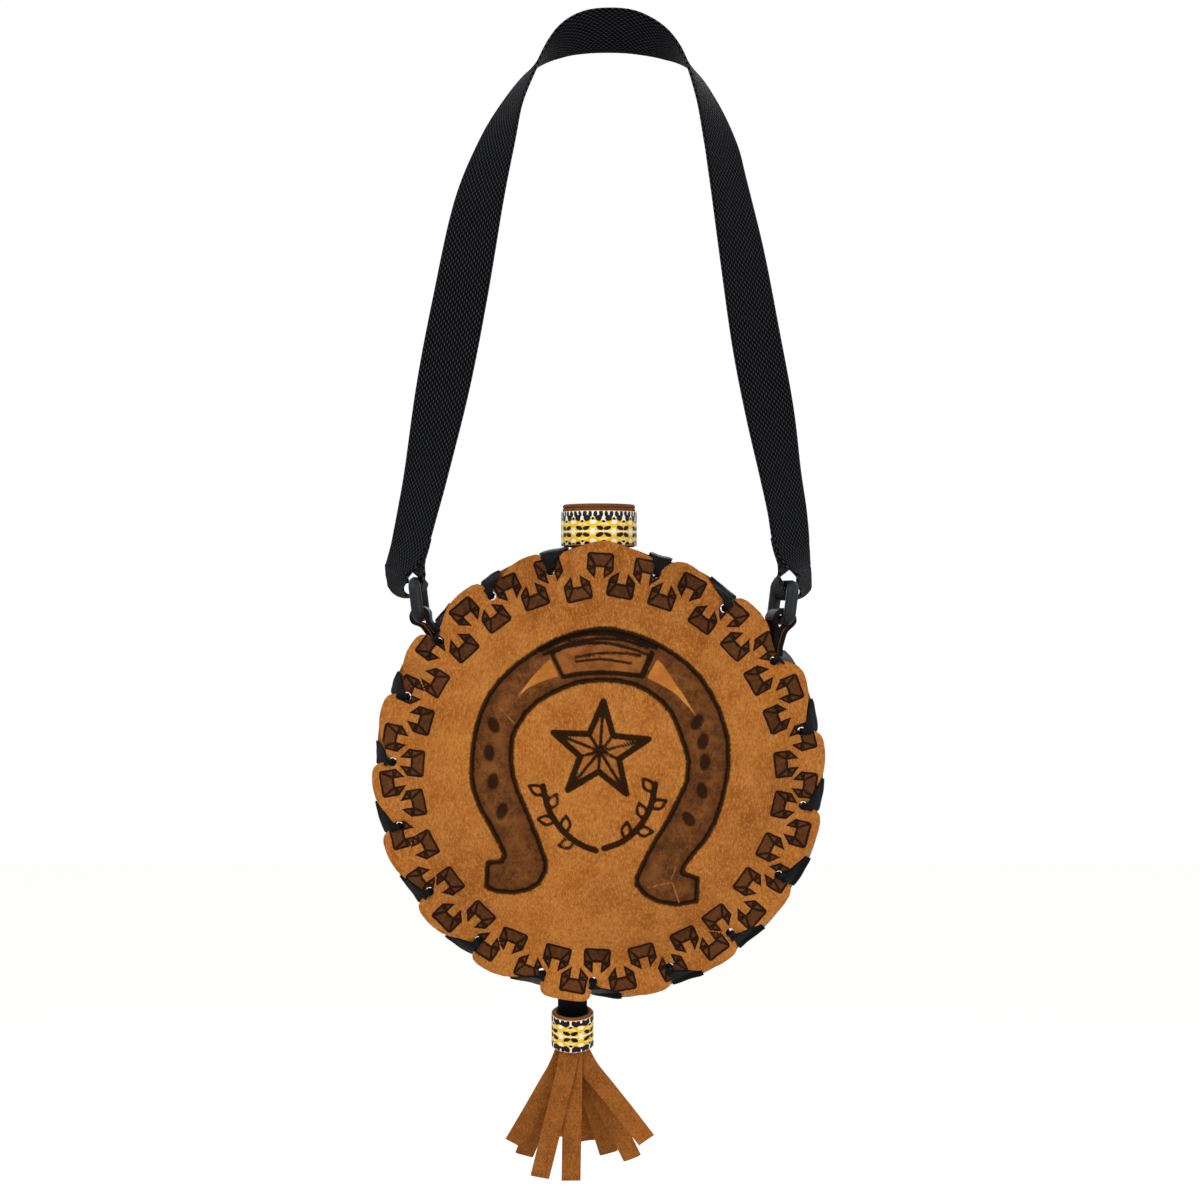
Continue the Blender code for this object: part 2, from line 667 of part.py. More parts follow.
def build_lacing(look, pivot):
    """One ribbon: its middle lies inside the rim at the bottom, and each half climbs its own side in slanted turns."""
    low_holes = [on_clock(LACE_RADIUS, hole) for hole in (LEFT_HOLES[-1], RIGHT_HOLES[0])]
    middle = (low_holes[0] + low_holes[1]) / 2
    runs = []
    for corner, holes, toward_top in zip(low_holes, (tuple(reversed(LEFT_HOLES)), RIGHT_HOLES), (1, -1)):
        toward_middle = math.copysign(LACE_TURN, middle.x - corner.x)
        inside = corner + Vector((toward_middle, 0, 0))
        rows = [(inside, UP, None, RIBBON_HOLE_HALF_WIDTH)]
        through_holes(rows, holes[0], starts_inside=True)
        for hole, next_hole in zip(holes, [*holes[1:], None]):
            stitch(rows, hole, toward_top * LACE_SLANTS.get(hole, LACE_SLANT), next_hole)
        tangents = directions([middle, *(row[0] for row in rows)])[1:]
        runs.append(
            [
                (place, across or normal.cross(tangent).normalized(), normal, half)
                for tangent, (place, normal, across, half) in zip(tangents, rows)
            ]
        )
    left = [(place, -across, normal, half) for place, across, normal, half in reversed(runs[0])]
    rows = [*left, (middle, BACK, UP, RIBBON_HOLE_HALF_WIDTH), *runs[1]]
    solid("rim_lacing", *strip(*zip(*rows), RIBBON_THICKNESS / 2), look, pivot)


def ring_frame(centre, side, toe):
    """Places of a ring's two bars at the middle plane, and the direction of its bars, toward the back."""
    lean = math.radians(RING_LEAN)
    up = Vector((side * math.sin(lean), 0, math.cos(lean)))
    middle = Vector((centre[0], 0, centre[1]))
    turn = math.radians(toe)
    bar = Vector((-side * math.sin(turn), math.cos(turn), 0))
    return middle + up * RING_BAR_PITCH / 2, middle - up * RING_BAR_PITCH / 2, bar, up


def build_ring(name, frame, look, pivot):
    top, bottom, bar, up = frame
    middle = (top + bottom) / 2
    across = up.cross(bar).normalized()
    half_depth = HALF_STRAP + RING_SLOT_CLEARANCE + RING_UPRIGHT_HALF_WIDTH
    half_height = RING_BAR_PITCH / 2
    rows = []
    for quarter, (depth_sign, height_sign) in enumerate(((1, 1), (-1, 1), (-1, -1), (1, -1))):
        corner = middle + bar * depth_sign * (half_depth - RING_CORNER_RADIUS)
        corner += up * height_sign * (half_height - RING_CORNER_RADIUS)
        start = 90 * quarter
        for step in range(RING_CORNER_STEPS + 1):
            turn = math.radians(start + 90 * step / RING_CORNER_STEPS)
            out = bar * math.cos(turn) + up * math.sin(turn)
            upright = abs(math.cos(turn))
            half_thickness = RING_BAR_RADIUS + upright * (RING_UPRIGHT_HALF_THICKNESS - RING_BAR_RADIUS)
            half_width = RING_BAR_RADIUS + upright * (RING_UPRIGHT_HALF_WIDTH - RING_BAR_RADIUS)
            place = corner + out * RING_CORNER_RADIUS
            row = []
            for k in range(RING_SIDES):
                around = 2 * math.pi * k / RING_SIDES
                row.append(place + across * half_thickness * math.cos(around) + out * half_width * math.sin(around))
            rows.append(row)
    solid(name, *rows_to_solid(rows, (0, 0, 0), caps=False), look, pivot)


def toed(degrees):
    turn = math.radians(degrees)
    return Vector((math.sin(turn), -math.cos(turn), 0))


def strap_end(frame, side, toe):
    """The loop round a ring's upper bar, from the main strap's side to the tail's."""
    top = frame[0]
    slack = STRAP_LOOP_RADIUS - STRAP_THICKNESS / 2 - RING_BAR_RADIUS - CONTACT_GAP
    sag = math.radians(STRAP_LOOP_SAG)
    centre = top + slack * Vector((side * math.cos(sag), 0, -math.sin(sag)))
    found = []
    for step in range(STRAP_LOOP_STEPS + 1):
        turn = -math.pi * step / STRAP_LOOP_STEPS
        spot = centre + STRAP_LOOP_RADIUS * Vector((side * math.cos(turn), 0, math.sin(turn)))
        found.append((spot, toed(side * toe)))
    return found


def build_strap(look, pivot, frames):
    main = curve_through(STRAP_ROUTE_SHARES, STRAP_STEPS)
    places = [Vector((STRAP_HALF_SPAN * x, 0, -STRAP_DROP * down)) for x, down, _ in main]
    rows = []
    for tangent, place, (_, _, twist) in zip(directions(places), places, main):
        outward = Vector((-tangent.z, 0, tangent.x))
        turn = math.radians(twist)
        rows.append((place, -BACK * math.cos(turn) + outward * math.sin(turn)))
    ends = []
    for side, toe, tail in ((-1, LEFT_RING_TOE, LEFT_TAIL_SHARES), (1, RIGHT_RING_TOE, RIGHT_TAIL_SHARES)):
        end = strap_end(frames[side], side, toe)
        for x, down, turned in tail:
            end.append((Vector((STRAP_HALF_SPAN * x, 0, -STRAP_DROP * down)), toed(-side * turned)))
        ends.append(end)
    rows = [*reversed(ends[0]), *rows, *ends[1]]
    places = [row[0] for row in rows]
    widths, normals = [], []
    for tangent, (_, wide) in zip(directions(places), rows):
        wide = (wide - tangent * wide.dot(tangent)).normalized()
        widths.append(wide)
        normals.append(tangent.cross(wide))
    halves = [HALF_STRAP] * len(rows)
    solid("strap_webbing", *strip(places, widths, normals, halves, STRAP_THICKNESS / 2), look, pivot)


def belt_outline(first, first_radius, second, second_radius):
    """Outline of a belt round two circles in the XZ plane, as (place, share toward the first)."""
    between = (second - first).normalized()
    side = Vector((-between.z, 0, between.x))
    tilt = math.asin((first_radius - second_radius) / (second - first).length)
    found = []
    for centre, radius, start, end, share in (
        (first, first_radius, math.pi / 2 - tilt, 3 * math.pi / 2 + tilt, 1.0),
        (second, second_radius, -math.pi / 2 + tilt, math.pi / 2 - tilt, 0.0),
    ):
        for step in range(TAB_ARC_STEPS + 1):
            turn = start + (end - start) * step / TAB_ARC_STEPS
            found.append((centre + radius * (between * math.cos(turn) + side * math.sin(turn)), share))
    return found


def build_belt(name, bar, lace, radii, thickness, toe, look, pivot):
    """A band round a ring's bar and round the lacing, wider at the bar and turned with it."""
    rows = []
    outer = [radius + thickness for radius in radii]
    slope = math.tan(math.radians(toe))
    for layer, side in ((outer, -1), (outer, 1), (radii, 1), (radii, -1)):
        row = []
        for place, share in belt_outline(bar, layer[0], lace, layer[1]):
            depth = side * (TAB_RIM_HALF_WIDTH + share * (TAB_BAR_HALF_WIDTH - TAB_RIM_HALF_WIDTH))
            row.append(place + Vector((-slope * share * depth, depth, 0)))
        rows.append(row)
    solid(name, *rows_to_solid(rows, (0, 0, 0), caps=False), look, pivot)


def build_tabs(looks, pivot, frames):
    for name, side, hole, toe, extra in (
        ("left", -1, LEFT_TAB_HOLE, LEFT_RING_TOE, 0.0),
        ("right", 1, RIGHT_TAB_HOLE, RIGHT_RING_TOE, OPEN_PIVOT_CLEARANCE),
    ):
        bar, lace = frames[side][1], on_clock(LACE_RADIUS, hole)
        radii = [RING_BAR_RADIUS + RUNNING_GAP + extra, TAB_LACE_CLEARANCE_RADIUS]
        build_belt(f"tab_{name}", bar, lace, radii, TAB_LEATHER_THICKNESS, side * toe, looks["leather"], pivot)
        radii = [radius + TAB_LEATHER_THICKNESS + CONTACT_GAP for radius in radii]
        build_belt(f"tab_{name}_ribbon", bar, lace, radii, TAB_RIBBON_THICKNESS, side * toe, looks["ribbon"], pivot)


def build_tassel(looks, pivot):
    """Made hanging straight down from the lacing, then tilted about it."""
    tilt = Matrix.Rotation(math.radians(TASSEL_TILT), 4, "X")
    hang = Vector(pivot["place"])

    def tilted(points):
        return [hang + tilt @ Vector(point) for point in points]

    def piece(name, points, faces, look):
        return solid(name, tilted(points), faces, look, pivot)

    half = TASSEL_LOOP_THICKNESS / 2
    reach = TASSEL_LOOP_RADIUS + half
    places = [Vector((0, -TASSEL_LEG_SPREAD, -TASSEL_LOOP_LENGTH)), Vector((0, -TASSEL_LEG_SPREAD, -COLLAR_DROP))]
    for step in range(TAB_ARC_STEPS + 1):
        turn = math.pi * (1 - step / TAB_ARC_STEPS)
        places.append(Vector((0, reach * math.cos(turn), reach * math.sin(turn))))
    places += [Vector((0, TASSEL_LEG_SPREAD, -COLLAR_DROP)), Vector((0, TASSEL_LEG_SPREAD, -TASSEL_LOOP_LENGTH))]
    across = Vector((1, 0, 0))
    widths = [across] * len(places)
    normals = [tangent.cross(across) for tangent in directions(places)]
    halves = [TASSEL_LOOP_HALF_WIDTH] * len(places)
    piece("tassel_loop", *strip(places, widths, normals, halves, half), looks["ribbon"])

    def sleeve(name, inner, outer, high, low, look):
        rings = [(outer, high), (outer, low), (inner, low), (inner, high)]
        piece(name, *lathe(rings, COLLAR_SIDES, (0, 0, 0), closed=True), look)

    top, bottom = -COLLAR_DROP, -COLLAR_DROP - COLLAR_HEIGHT
    inner = COLLAR_RADIUS - COLLAR_THICKNESS
    sleeve("tassel_collar", inner, COLLAR_RADIUS, top, bottom, looks["leather"])
    band = (COLLAR_RADIUS + CONTACT_GAP) / math.cos(math.pi / COLLAR_SIDES)
    band_high, band_low = top - COLLAR_BAND_INSET, bottom + CONTACT_GAP
    sleeve("tassel_collar_ribbon", band, band + COLLAR_BAND_THICKNESS, band_high, band_low, looks["printed_ribbon"])

    core_top = -TASSEL_LOOP_LENGTH - CONTACT_GAP
    core_low = core_top - CORE_LENGTH
    core_radius = inner * math.cos(math.pi / COLLAR_SIDES) - CONTACT_GAP
    core = [(0, core_top), (core_radius, core_top), (core_radius, core_low), (0, core_low)]
    piece("tassel_core", *lathe(core, COLLAR_SIDES, (0, 0, 0)), looks["fringe"])

    strip_top = core_low - CONTACT_GAP
    count = len(STRIP_LEAN_SHARES)
    for k, (side_lean, back_lean, share) in enumerate(STRIP_LEAN_SHARES):
        depth = (k - (count - 1) / 2) * STRIP_PITCH
        length = STRIP_LENGTH * share
        spot = Vector((0, depth, strip_top))
        places = [spot.copy()]
        for step in range(1, STRIP_STEPS + 1):
            bend = min(1, (step - 1) / STRIP_BEND_STEPS)
            turn, lean = math.radians(side_lean) * bend, math.radians(back_lean) * bend
            reach = STRIP_HIDDEN_LENGTH if step == 1 else (length - STRIP_HIDDEN_LENGTH) / (STRIP_STEPS - 1)
            spot += reach * Vector((math.sin(turn), math.sin(lean), -math.cos(turn) * math.cos(lean)))
            places.append(spot.copy())
        tangents = directions(places)
        normals = [(BACK - tangent * tangent.y).normalized() for tangent in tangents]
        widths = [normal.cross(tangent).normalized() for normal, tangent in zip(normals, tangents)]
        room = math.sqrt(core_radius**2 - (abs(depth) + STRIP_THICKNESS / 2) ** 2)
        halves = [min(STRIP_WIDTH / 2, room)] * 2 + [STRIP_WIDTH / 2] * (len(places) - 2)
        piece(f"tassel_strip_{k + 1}", *strip(places, widths, normals, halves, STRIP_THICKNESS / 2), looks["fringe"])


def build():
    for old in list(bpy.data.objects):
        bpy.data.objects.remove(old, do_unlink=True)
    looks = {
        "leather": material("tan_suede", (0.43, 0.16, 0.035), 0.9),
        "fringe": material("brown_suede", (0.30, 0.10, 0.025), 0.95),
        "ribbon": material("black_satin", (0.008, 0.009, 0.012), 0.35),
        "printed_ribbon": material("printed_ribbon", (0.90, 0.62, 0.06), 0.4),
        "webbing": material("black_webbing", (0.010, 0.010, 0.012), 0.8),
        "ring_plastic": material("ring_plastic", (0.02, 0.022, 0.026), 0.45),
        "black_plastic": material("cap_plastic", (0.03, 0.03, 0.03), 0.45),
        "flask_plastic": material("flask_plastic", (0.85, 0.85, 0.82), 0.4),
        "seal": material("seal_rubber", (0.6, 0.6, 0.58), 0.7),
    }
    frames = {
        -1: ring_frame(LEFT_RING_CENTRE, -1, LEFT_RING_TOE),
        1: ring_frame(RIGHT_RING_CENTRE, 1, RIGHT_RING_TOE),
    }
    strap = empty("hang_point", (0, 0, 0))
    left_ring = empty("left_ring_pivot", frames[-1][0], strap)
    right_ring = empty("right_ring_pivot", frames[1][0], strap)
    canteen = empty("canteen_pivot", frames[-1][1], left_ring)
    cap_axis = (CENTRE_X, 0, -CENTRE_DROP + CAP_BOTTOM)
    seal = empty("cap_lift", cap_axis, canteen)
    cap = empty("cap_axis", cap_axis, seal)
    bar_z = (on_clock(LACE_RADIUS, LEFT_HOLES[-1]).z + on_clock(LACE_RADIUS, RIGHT_HOLES[0]).z) / 2
    tassel = empty("tassel_pivot", (TASSEL_X, 0, bar_z), canteen)

    build_strap(looks["webbing"], strap, frames)
    build_ring("ring_left", frames[-1], looks["ring_plastic"], left_ring)
    build_ring("ring_right", frames[1], looks["ring_plastic"], right_ring)
    build_flask(looks["flask_plastic"], canteen)
    build_covers(looks["leather"], canteen)
    build_lacing(looks["ribbon"], canteen)
    build_tabs(looks, canteen, frames)
    build_cap(looks, cap, seal)
    build_tassel(looks, tassel)


build()
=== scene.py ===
"""Leather-covered canteen hanging by its shoulder strap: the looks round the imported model.

Metres, +Z up, front toward -Y. The origin is the strap's underside at the top of its loop. Clock angles run from
the top of the disc, positive to the right as the front is seen. Drawn designs are given in millimetres from the
disc's centre.
"""

import math
from functools import partialmethod

import bmesh
import bpy
import numpy as np
from mathutils import Matrix, Vector


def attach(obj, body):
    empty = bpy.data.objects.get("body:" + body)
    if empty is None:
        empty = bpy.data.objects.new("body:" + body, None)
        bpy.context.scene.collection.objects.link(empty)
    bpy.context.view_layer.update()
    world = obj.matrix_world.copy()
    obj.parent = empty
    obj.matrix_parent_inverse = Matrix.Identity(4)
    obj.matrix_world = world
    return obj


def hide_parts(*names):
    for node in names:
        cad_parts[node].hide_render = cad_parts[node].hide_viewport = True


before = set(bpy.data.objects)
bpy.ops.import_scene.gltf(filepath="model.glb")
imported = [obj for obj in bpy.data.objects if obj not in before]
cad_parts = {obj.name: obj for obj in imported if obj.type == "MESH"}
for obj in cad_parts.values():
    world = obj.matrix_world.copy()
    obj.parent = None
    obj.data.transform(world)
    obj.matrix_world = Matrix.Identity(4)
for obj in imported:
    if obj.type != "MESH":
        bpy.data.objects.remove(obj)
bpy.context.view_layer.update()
SCENE = bpy.context.scene
MM = 0.001

# ---- sizes that the solids have too
CENTRE_X = -0.0005
CENTRE_DROP = 0.3695
HALF_FLASK = 0.020
CAP_BOTTOM = 0.1125
CAP_HEIGHT = 0.0210
LEATHER = 0.0022
NOTCH_RADIUS = 0.106
PEAK_RADIUS = 0.113
TOP_PEAK_RADIUS = 0.115
LACE_RADIUS = 0.103
HOLE_RADIUS = 0.0022
LEFT_HOLES = (-13.5, -31.3, -50.6, -68.4, -87.0, -105.0, -125.1, -144.3, -164.1)
RIGHT_HOLES = (-178.3, -199.9, -219.3, -240.3, -260.8, -281.5, -302.8, -322.6, -343.9)
# A cover's inner face as (share of LACE_RADIUS, share of HALF_FLASK), away from the neck and at it
COVER_PROFILE = ((0, 1.02), (0.29, 1.02), (0.485, 0.955), (0.68, 0.745), (0.81, 0.495), (0.875, 0.345),
                 (0.94, 0.205), (1.01, 0.135), (1.06, 0.125), (1.2, 0.125))
COVER_NECK = ((0, 1.02), (0.29, 1.02), (0.485, 0.965), (0.68, 0.85), (0.81, 0.83), (0.875, 0.86), (0.94, 0.91),
              (1.01, 0.96), (1.06, 0.98), (1.2, 0.98))
# Where the covers stand open: middle, then how far each way fully open and not at all, in degrees
NECK_OPEN = (0.0, 11.0, 30.0)
TAB_OPENS = ((-49.5, 6.5, 15.0), (-306.0, 8.5, 17.0))
TAB_HALF_OPENING = 0.0092
TASSEL_OPEN = (-172.9, 6.0, 14.0)
TASSEL_HALF_OPENING = 0.0078

BACK = Vector((0, 1, 0))


# ---- node trees written as sums
def plug(tree, slot, item):
    """Fills a node's input with a sum, another node's output, a colour or plain numbers."""
    if isinstance(item, Value):
        item = item.socket
    if isinstance(item, bpy.types.NodeSocket):
        tree.links.new(item, slot)
    elif isinstance(item, tuple) and len(slot.default_value) > len(item):
        slot.default_value = (*item, 1.0)
    else:
        slot.default_value = item


def new_node(tree, kind, *items, **named):
    """A node with its first inputs filled in order, or some by name (an underscore stands for a space)."""
    node = tree.nodes.new("ShaderNode" + kind)
    for slot, item in zip(node.inputs, items):
        plug(tree, slot, item)
    for key, item in named.items():
        plug(tree, node.inputs[key.replace("_", " ")], item)
    return node


class Value:
    """A number in a node tree, so that patterns can be written as formulas."""

    def __init__(self, tree, socket):
        self.tree, self.socket = tree, socket

    def op(self, kind, *others):
        node = new_node(self.tree, "Math", self, *others)
        node.operation = kind
        return Value(self.tree, node.outputs[0])

    def __rsub__(self, other):
        return (self * -1.0) + other

    __add__ = __radd__ = partialmethod(op, "ADD")
    __sub__ = partialmethod(op, "SUBTRACT")
    __mul__ = __rmul__ = partialmethod(op, "MULTIPLY")
    least = partialmethod(op, "MINIMUM")
    most = partialmethod(op, "MAXIMUM")
    size = partialmethod(op, "ABSOLUTE")

    def step(self, low, high):
        """0 at low, 1 at high, smooth between."""
        node = new_node(self.tree, "MapRange", Value=self, From_Min=min(low, high), From_Max=max(low, high),
                        To_Min=float(low > high), To_Max=float(low <= high))
        node.interpolation_type = "SMOOTHSTEP"
        return Value(self.tree, node.outputs["Result"])


class Look:
    """A material being written."""

    def __init__(self, name, roughness, specular):
        self.made = bpy.data.materials.new(name)
        self.made.use_nodes = True
        self.tree = self.made.node_tree
        self.shader = self.tree.nodes["Principled BSDF"]
        self.fill("Roughness", roughness)
        self.fill("Specular IOR Level", specular)
        self.place = self.node("TexCoord").outputs["Object"]

    def node(self, kind, *items, **named):
        return new_node(self.tree, kind, *items, **named)

    def fill(self, slot, item):
        plug(self.tree, self.shader.inputs[slot], item)

    colour = partialmethod(fill, "Base Color")
    roughness = partialmethod(fill, "Roughness")

    def kept(self, name, output):
        """What the mesh keeps under a name."""
        node = self.node("Attribute")
        node.attribute_name = name
        return node.outputs[output]

    def number(self, name):
        return Value(self.tree, self.kept(name, "Fac"))

    def numbers(self, name):
        """Its three numbers."""
        parts = self.node("SeparateXYZ", self.kept(name, "Vector"))
        return [Value(self.tree, socket) for socket in parts.outputs]

    def noise(self, scale, detail=2.0, rough=0.5, place=None, stretch=None):
        where = place or self.place
        if stretch:
            where = self.node("Mapping", Vector=where, Scale=stretch).outputs[0]
        node = self.node("TexNoise", Vector=where, Scale=scale, Detail=detail, Roughness=rough)
        return Value(self.tree, node.outputs["Fac"])

    def mix(self, part, under, over):
        node = self.node("Mix")
        node.data_type = "RGBA"
        for slot, item in zip((0, 6, 7), (part, under, over)):
            plug(self.tree, node.inputs[slot], item)
        return node.outputs[2]

    def over(self, ground, *layers):
        """Layers (how much, which colour) laid over the ground one after another."""
        for part, shade in layers:
            ground = self.mix(part, ground, shade)
        return ground

    def bump(self, height, distance, strength):
        node = self.node("Bump", Strength=strength, Distance=distance, Height=height)
        self.tree.links.new(node.outputs["Normal"], self.shader.inputs["Normal"])


def linear(r, g, b):
    """An eight-bit screen colour as light."""
    return tuple(((c / 255 + 0.055) / 1.055) ** 2.4 if c > 10 else c / 255 / 12.92 for c in (r, g, b))


# ---- meshes
def piece(name, points, faces, looks, body, smooth, picks=None):
    """A mesh in world places that rides on a body. picks gives each face its look. Edges sharper than smooth show."""
    mesh = bpy.data.meshes.new(name)
    mesh.from_pydata([tuple(p) for p in points], [], [tuple(f) for f in faces])
    for look in looks:
        mesh.materials.append(look)
    if picks is not None:
        mesh.polygons.foreach_set("material_index", picks)
    mesh.shade_smooth()
    mesh.set_sharp_from_angle(angle=math.radians(smooth))
    made = bpy.data.objects.new(name, mesh)
    SCENE.collection.objects.link(made)
    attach(made, body)
    return made


def store(made, name, values, domain="POINT"):
    """Keeps a number or three for each point or face corner, for the look to use."""
    values = np.asarray(values, np.float32)
    kind, key = ("FLOAT", "value") if values.ndim == 1 else ("FLOAT_VECTOR", "vector")
    made.data.attributes.new(name, kind, domain).data.foreach_set(key, values.ravel())


def soft(made, slot, node):
    """Hides the solid that the piece stands for. slot, what it is made of, is not used."""
    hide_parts(node)


def tube_faces(rows, width, loop=False):
    """Faces of a tube from rows of points round it. A loop joins its own start; else the two ends are shut."""
    faces = []
    for a in range(rows if loop else rows - 1):
        b = (a + 1) % rows
        for k in range(width):
            j = (k + 1) % width
            faces.append((a * width + k, a * width + j, b * width + j, b * width + k))
    if not loop:
        faces.append(tuple(range(width))[::-1])
        faces.append(tuple(range((rows - 1) * width, rows * width)))
    return faces


def face_out(made):
    """Turns its faces outward."""
    shape = bmesh.new()
    shape.from_mesh(made.data)
    bmesh.ops.recalc_face_normals(shape, faces=shape.faces)
    shape.to_mesh(made.data)
    shape.free()
    return made


def curve_through(rows, steps):
    """Rows of numbers joined by a Catmull-Rom curve, with steps spans between each two."""
    rows = np.array(rows, float)
    ends = np.vstack([rows[:1], rows, rows[-1:]])
    found = []
    for k in range(len(rows) - 1):
        p, q, r, s = ends[k : k + 4]
        for step in range(steps):
            t = step / steps
            found.append(0.5 * (2 * q + (r - p) * t + (2 * p - 5 * q + 4 * r - s) * t**2
                                + (3 * q - p - 3 * r + s) * t**3))
    return np.array([*found, rows[-1]])


def between(a, b, low, high, at):
    """The value at a place, from a at the low one and b at the high one."""
    return a * (high - at) / (high - low) + b * (at - low) / (high - low)


def evenly_through(rows, steps):
    """As curve_through, with the knots spaced by the root of the distance, so that close rows make no loops."""
    rows = np.array(rows, float)
    ends = np.vstack([2 * rows[:1] - rows[1:2], rows, 2 * rows[-1:] - rows[-2:-1]])
    gaps = np.sqrt(np.maximum(np.linalg.norm(np.diff(ends[:, :3], axis=0), axis=1), 1e-7))
    knots = np.concatenate([[0], np.cumsum(gaps)])
    found = []
    for k in range(len(rows) - 1):
        p, t = ends[k : k + 4], knots[k : k + 4]
        for at in np.linspace(t[1], t[2], steps, endpoint=False):
            first, second, third = (between(p[i], p[i + 1], t[i], t[i + 1], at) for i in range(3))
            early, late = between(first, second, t[0], t[2], at), between(second, third, t[1], t[3], at)
            found.append(between(early, late, t[1], t[2], at))
    return np.array([*found, rows[-1]])


def directions(places):
    """The way that a run goes at each of its places."""
    befores, afters = [places[0], *places[:-1]], [*places[1:], places[-1]]
    return [(after - before).normalized() for before, after in zip(befores, afters)]


# Beyond this share of its half width is a band's very edge, and there it is this much as thick
OUTERMOST = 0.999
EDGE_THICKNESS = 0.45


def ribbon_rows(places, widths, halves, thickness, columns, crown, square):
    """Cross-sections of a flat band: rows of points round it, and (along, across, side) for each in metres.

    crown(share across, row) lifts it off its flat form. square turns each width square to the run.
    """
    places, widths = np.array(places, float), np.array(widths, float)
    run = np.concatenate([[0], np.cumsum(np.linalg.norm(np.diff(places, axis=0), axis=1))])
    tangents = np.gradient(places, axis=0)
    tangents /= np.linalg.norm(tangents, axis=1)[:, None]
    if square:
        widths -= tangents * (widths * tangents).sum(1)[:, None]
    widths /= np.linalg.norm(widths, axis=1)[:, None]
    normals = np.cross(tangents, widths)
    normals /= np.linalg.norm(normals, axis=1)[:, None]
    across = np.linspace(-1, 1, columns)
    points, along = [], []
    for i, place in enumerate(places):
        for side in (1, -1):
            for c in across[::side]:
                level = side * thickness / 2 * (EDGE_THICKNESS if abs(c) > OUTERMOST else 1.0) + crown(c, i)
                points.append(place + widths[i] * halves[i] * c + normals[i] * level)
                along.append((run[i], halves[i] * c, side))
    return points, along


def band(name, places, widths, halves, thickness, columns, look, body, crown, smooth, square=True):
    """A ribbon or strap as one closed mesh, with its run kept as weave (along, across, side)."""
    points, along = ribbon_rows(places, widths, halves, thickness, columns, crown, square)
    made = piece(name, points, tube_faces(len(places), 2 * columns), [look], body, smooth)
    store(made, "weave", along)
    return face_out(made)


# ---- the discs
HOLES_ROUND = sorted([*LEFT_HOLES, *(angle + 360 for angle in RIGHT_HOLES)])
HOLE_STARTS = np.array(HOLES_ROUND)
HOLE_ENDS = np.array([*HOLES_ROUND[1:], HOLES_ROUND[0] + 360])
HOLE_PEAKS = np.where(HOLE_STARTS == LEFT_HOLES[0], TOP_PEAK_RADIUS, PEAK_RADIUS)
HOLE_MIDDLES = [LACE_RADIUS * np.array((math.sin(turn), math.cos(turn))) for turn in map(math.radians, HOLES_ROUND)]
PROFILE_DENSE = curve_through(COVER_PROFILE, 12)
NECK_DENSE = curve_through(COVER_NECK, 12)
# The back cover's edge. At the lower right it stands out a little more and shows its raw inner face: middle of that
# span, then how far each way it does so fully and not at all, in degrees
BACK_NOTCH_RADIUS = 0.1106
BACK_OVERHANG = -0.0005
RAW_SPAN = (142.0, 36.0, 44.0)
RAW_OVERHANG = 0.0016
RAW_SHARE = 0.9
# The grid keeps to a plain disc and spreads to the scallops beyond a share of its radius
COVER_GRID = 216
DISC_BASE = 0.110
SCALLOP_START = 0.82
# Beyond this share is the very rim. Border points within this many hole radii of a hole's middle belong to the hole
RIM_SHARE = 0.9999
HOLE_BORDER = 1.6
# The leather's surface: the scallops turn outward, less so by the neck, the rest swells, dips to the edge and the
# holes, and is worked
FLARE = 0.0013
FLARE_SPAN = (0.094, 0.112)
FLARE_LEVEL = 0.25
NECK_CALM = 0.6
SWELL, SWELL_SHARES = 0.00035, (0.0, 0.2)
EDGE_DIP, EDGE_SHARES = 0.00035, (0.988, 1.0)
HOLE_DIP = 0.0011
HOLE_DIP_REACH = 0.0055
# How deep drawn parts are pressed, and how far outside and inside their outline, in millimetres, that starts and ends
LINE_DEPTH, SHOE_FADE, STROKE_FADE = 0.00030, (-0.6, 1.2), (-0.8, 0.8)
NAIL_DEPTH, NAIL_FADE = 0.00025, (-0.6, 0.8)
STAMP_DEPTH, STAMP_FADE = 0.00040, (-0.5, 0.7)
# Half the width of the line round the shoe, in millimetres; then what is kept where there is no drawn part or stamp
SHOE_LINE = 1.7
NO_DRAWING, NO_STAMP = -9.0, -99.0
# The inner skin lies a leather's thickness behind the outer one. It may stand this far off its own level form, and
# the sheet may be this much thicker to keep it there
INNER_RISE = 0.0011
THICKER = 0.0002


def ease(x, low, high):
    """0 at low, 1 at high, smooth between."""
    part = np.clip((x - low) / (high - low), 0, 1)
    return part * part * (3 - 2 * part)


def window(angle, middle, full, fade):
    """1 within full degrees of the middle, 0 beyond fade."""
    return ease(np.abs((angle - middle + 180) % 360 - 180), fade, full)


def cover_height(radius, angle):
    """How far a cover's inner face stands off the middle plane."""
    share = np.asarray(radius) / LACE_RADIUS
    height = np.interp(share, PROFILE_DENSE[:, 0], PROFILE_DENSE[:, 1]) * HALF_FLASK
    opened = np.interp(share, NECK_DENSE[:, 0], NECK_DENSE[:, 1]) * HALF_FLASK
    height = height + window(angle, *NECK_OPEN) * np.maximum(0, opened - height)
    for span in TAB_OPENS:
        height = height + window(angle, *span) * np.maximum(0, TAB_HALF_OPENING - height)
    return height + window(angle, *TASSEL_OPEN) * np.maximum(0, TASSEL_HALF_OPENING - height)


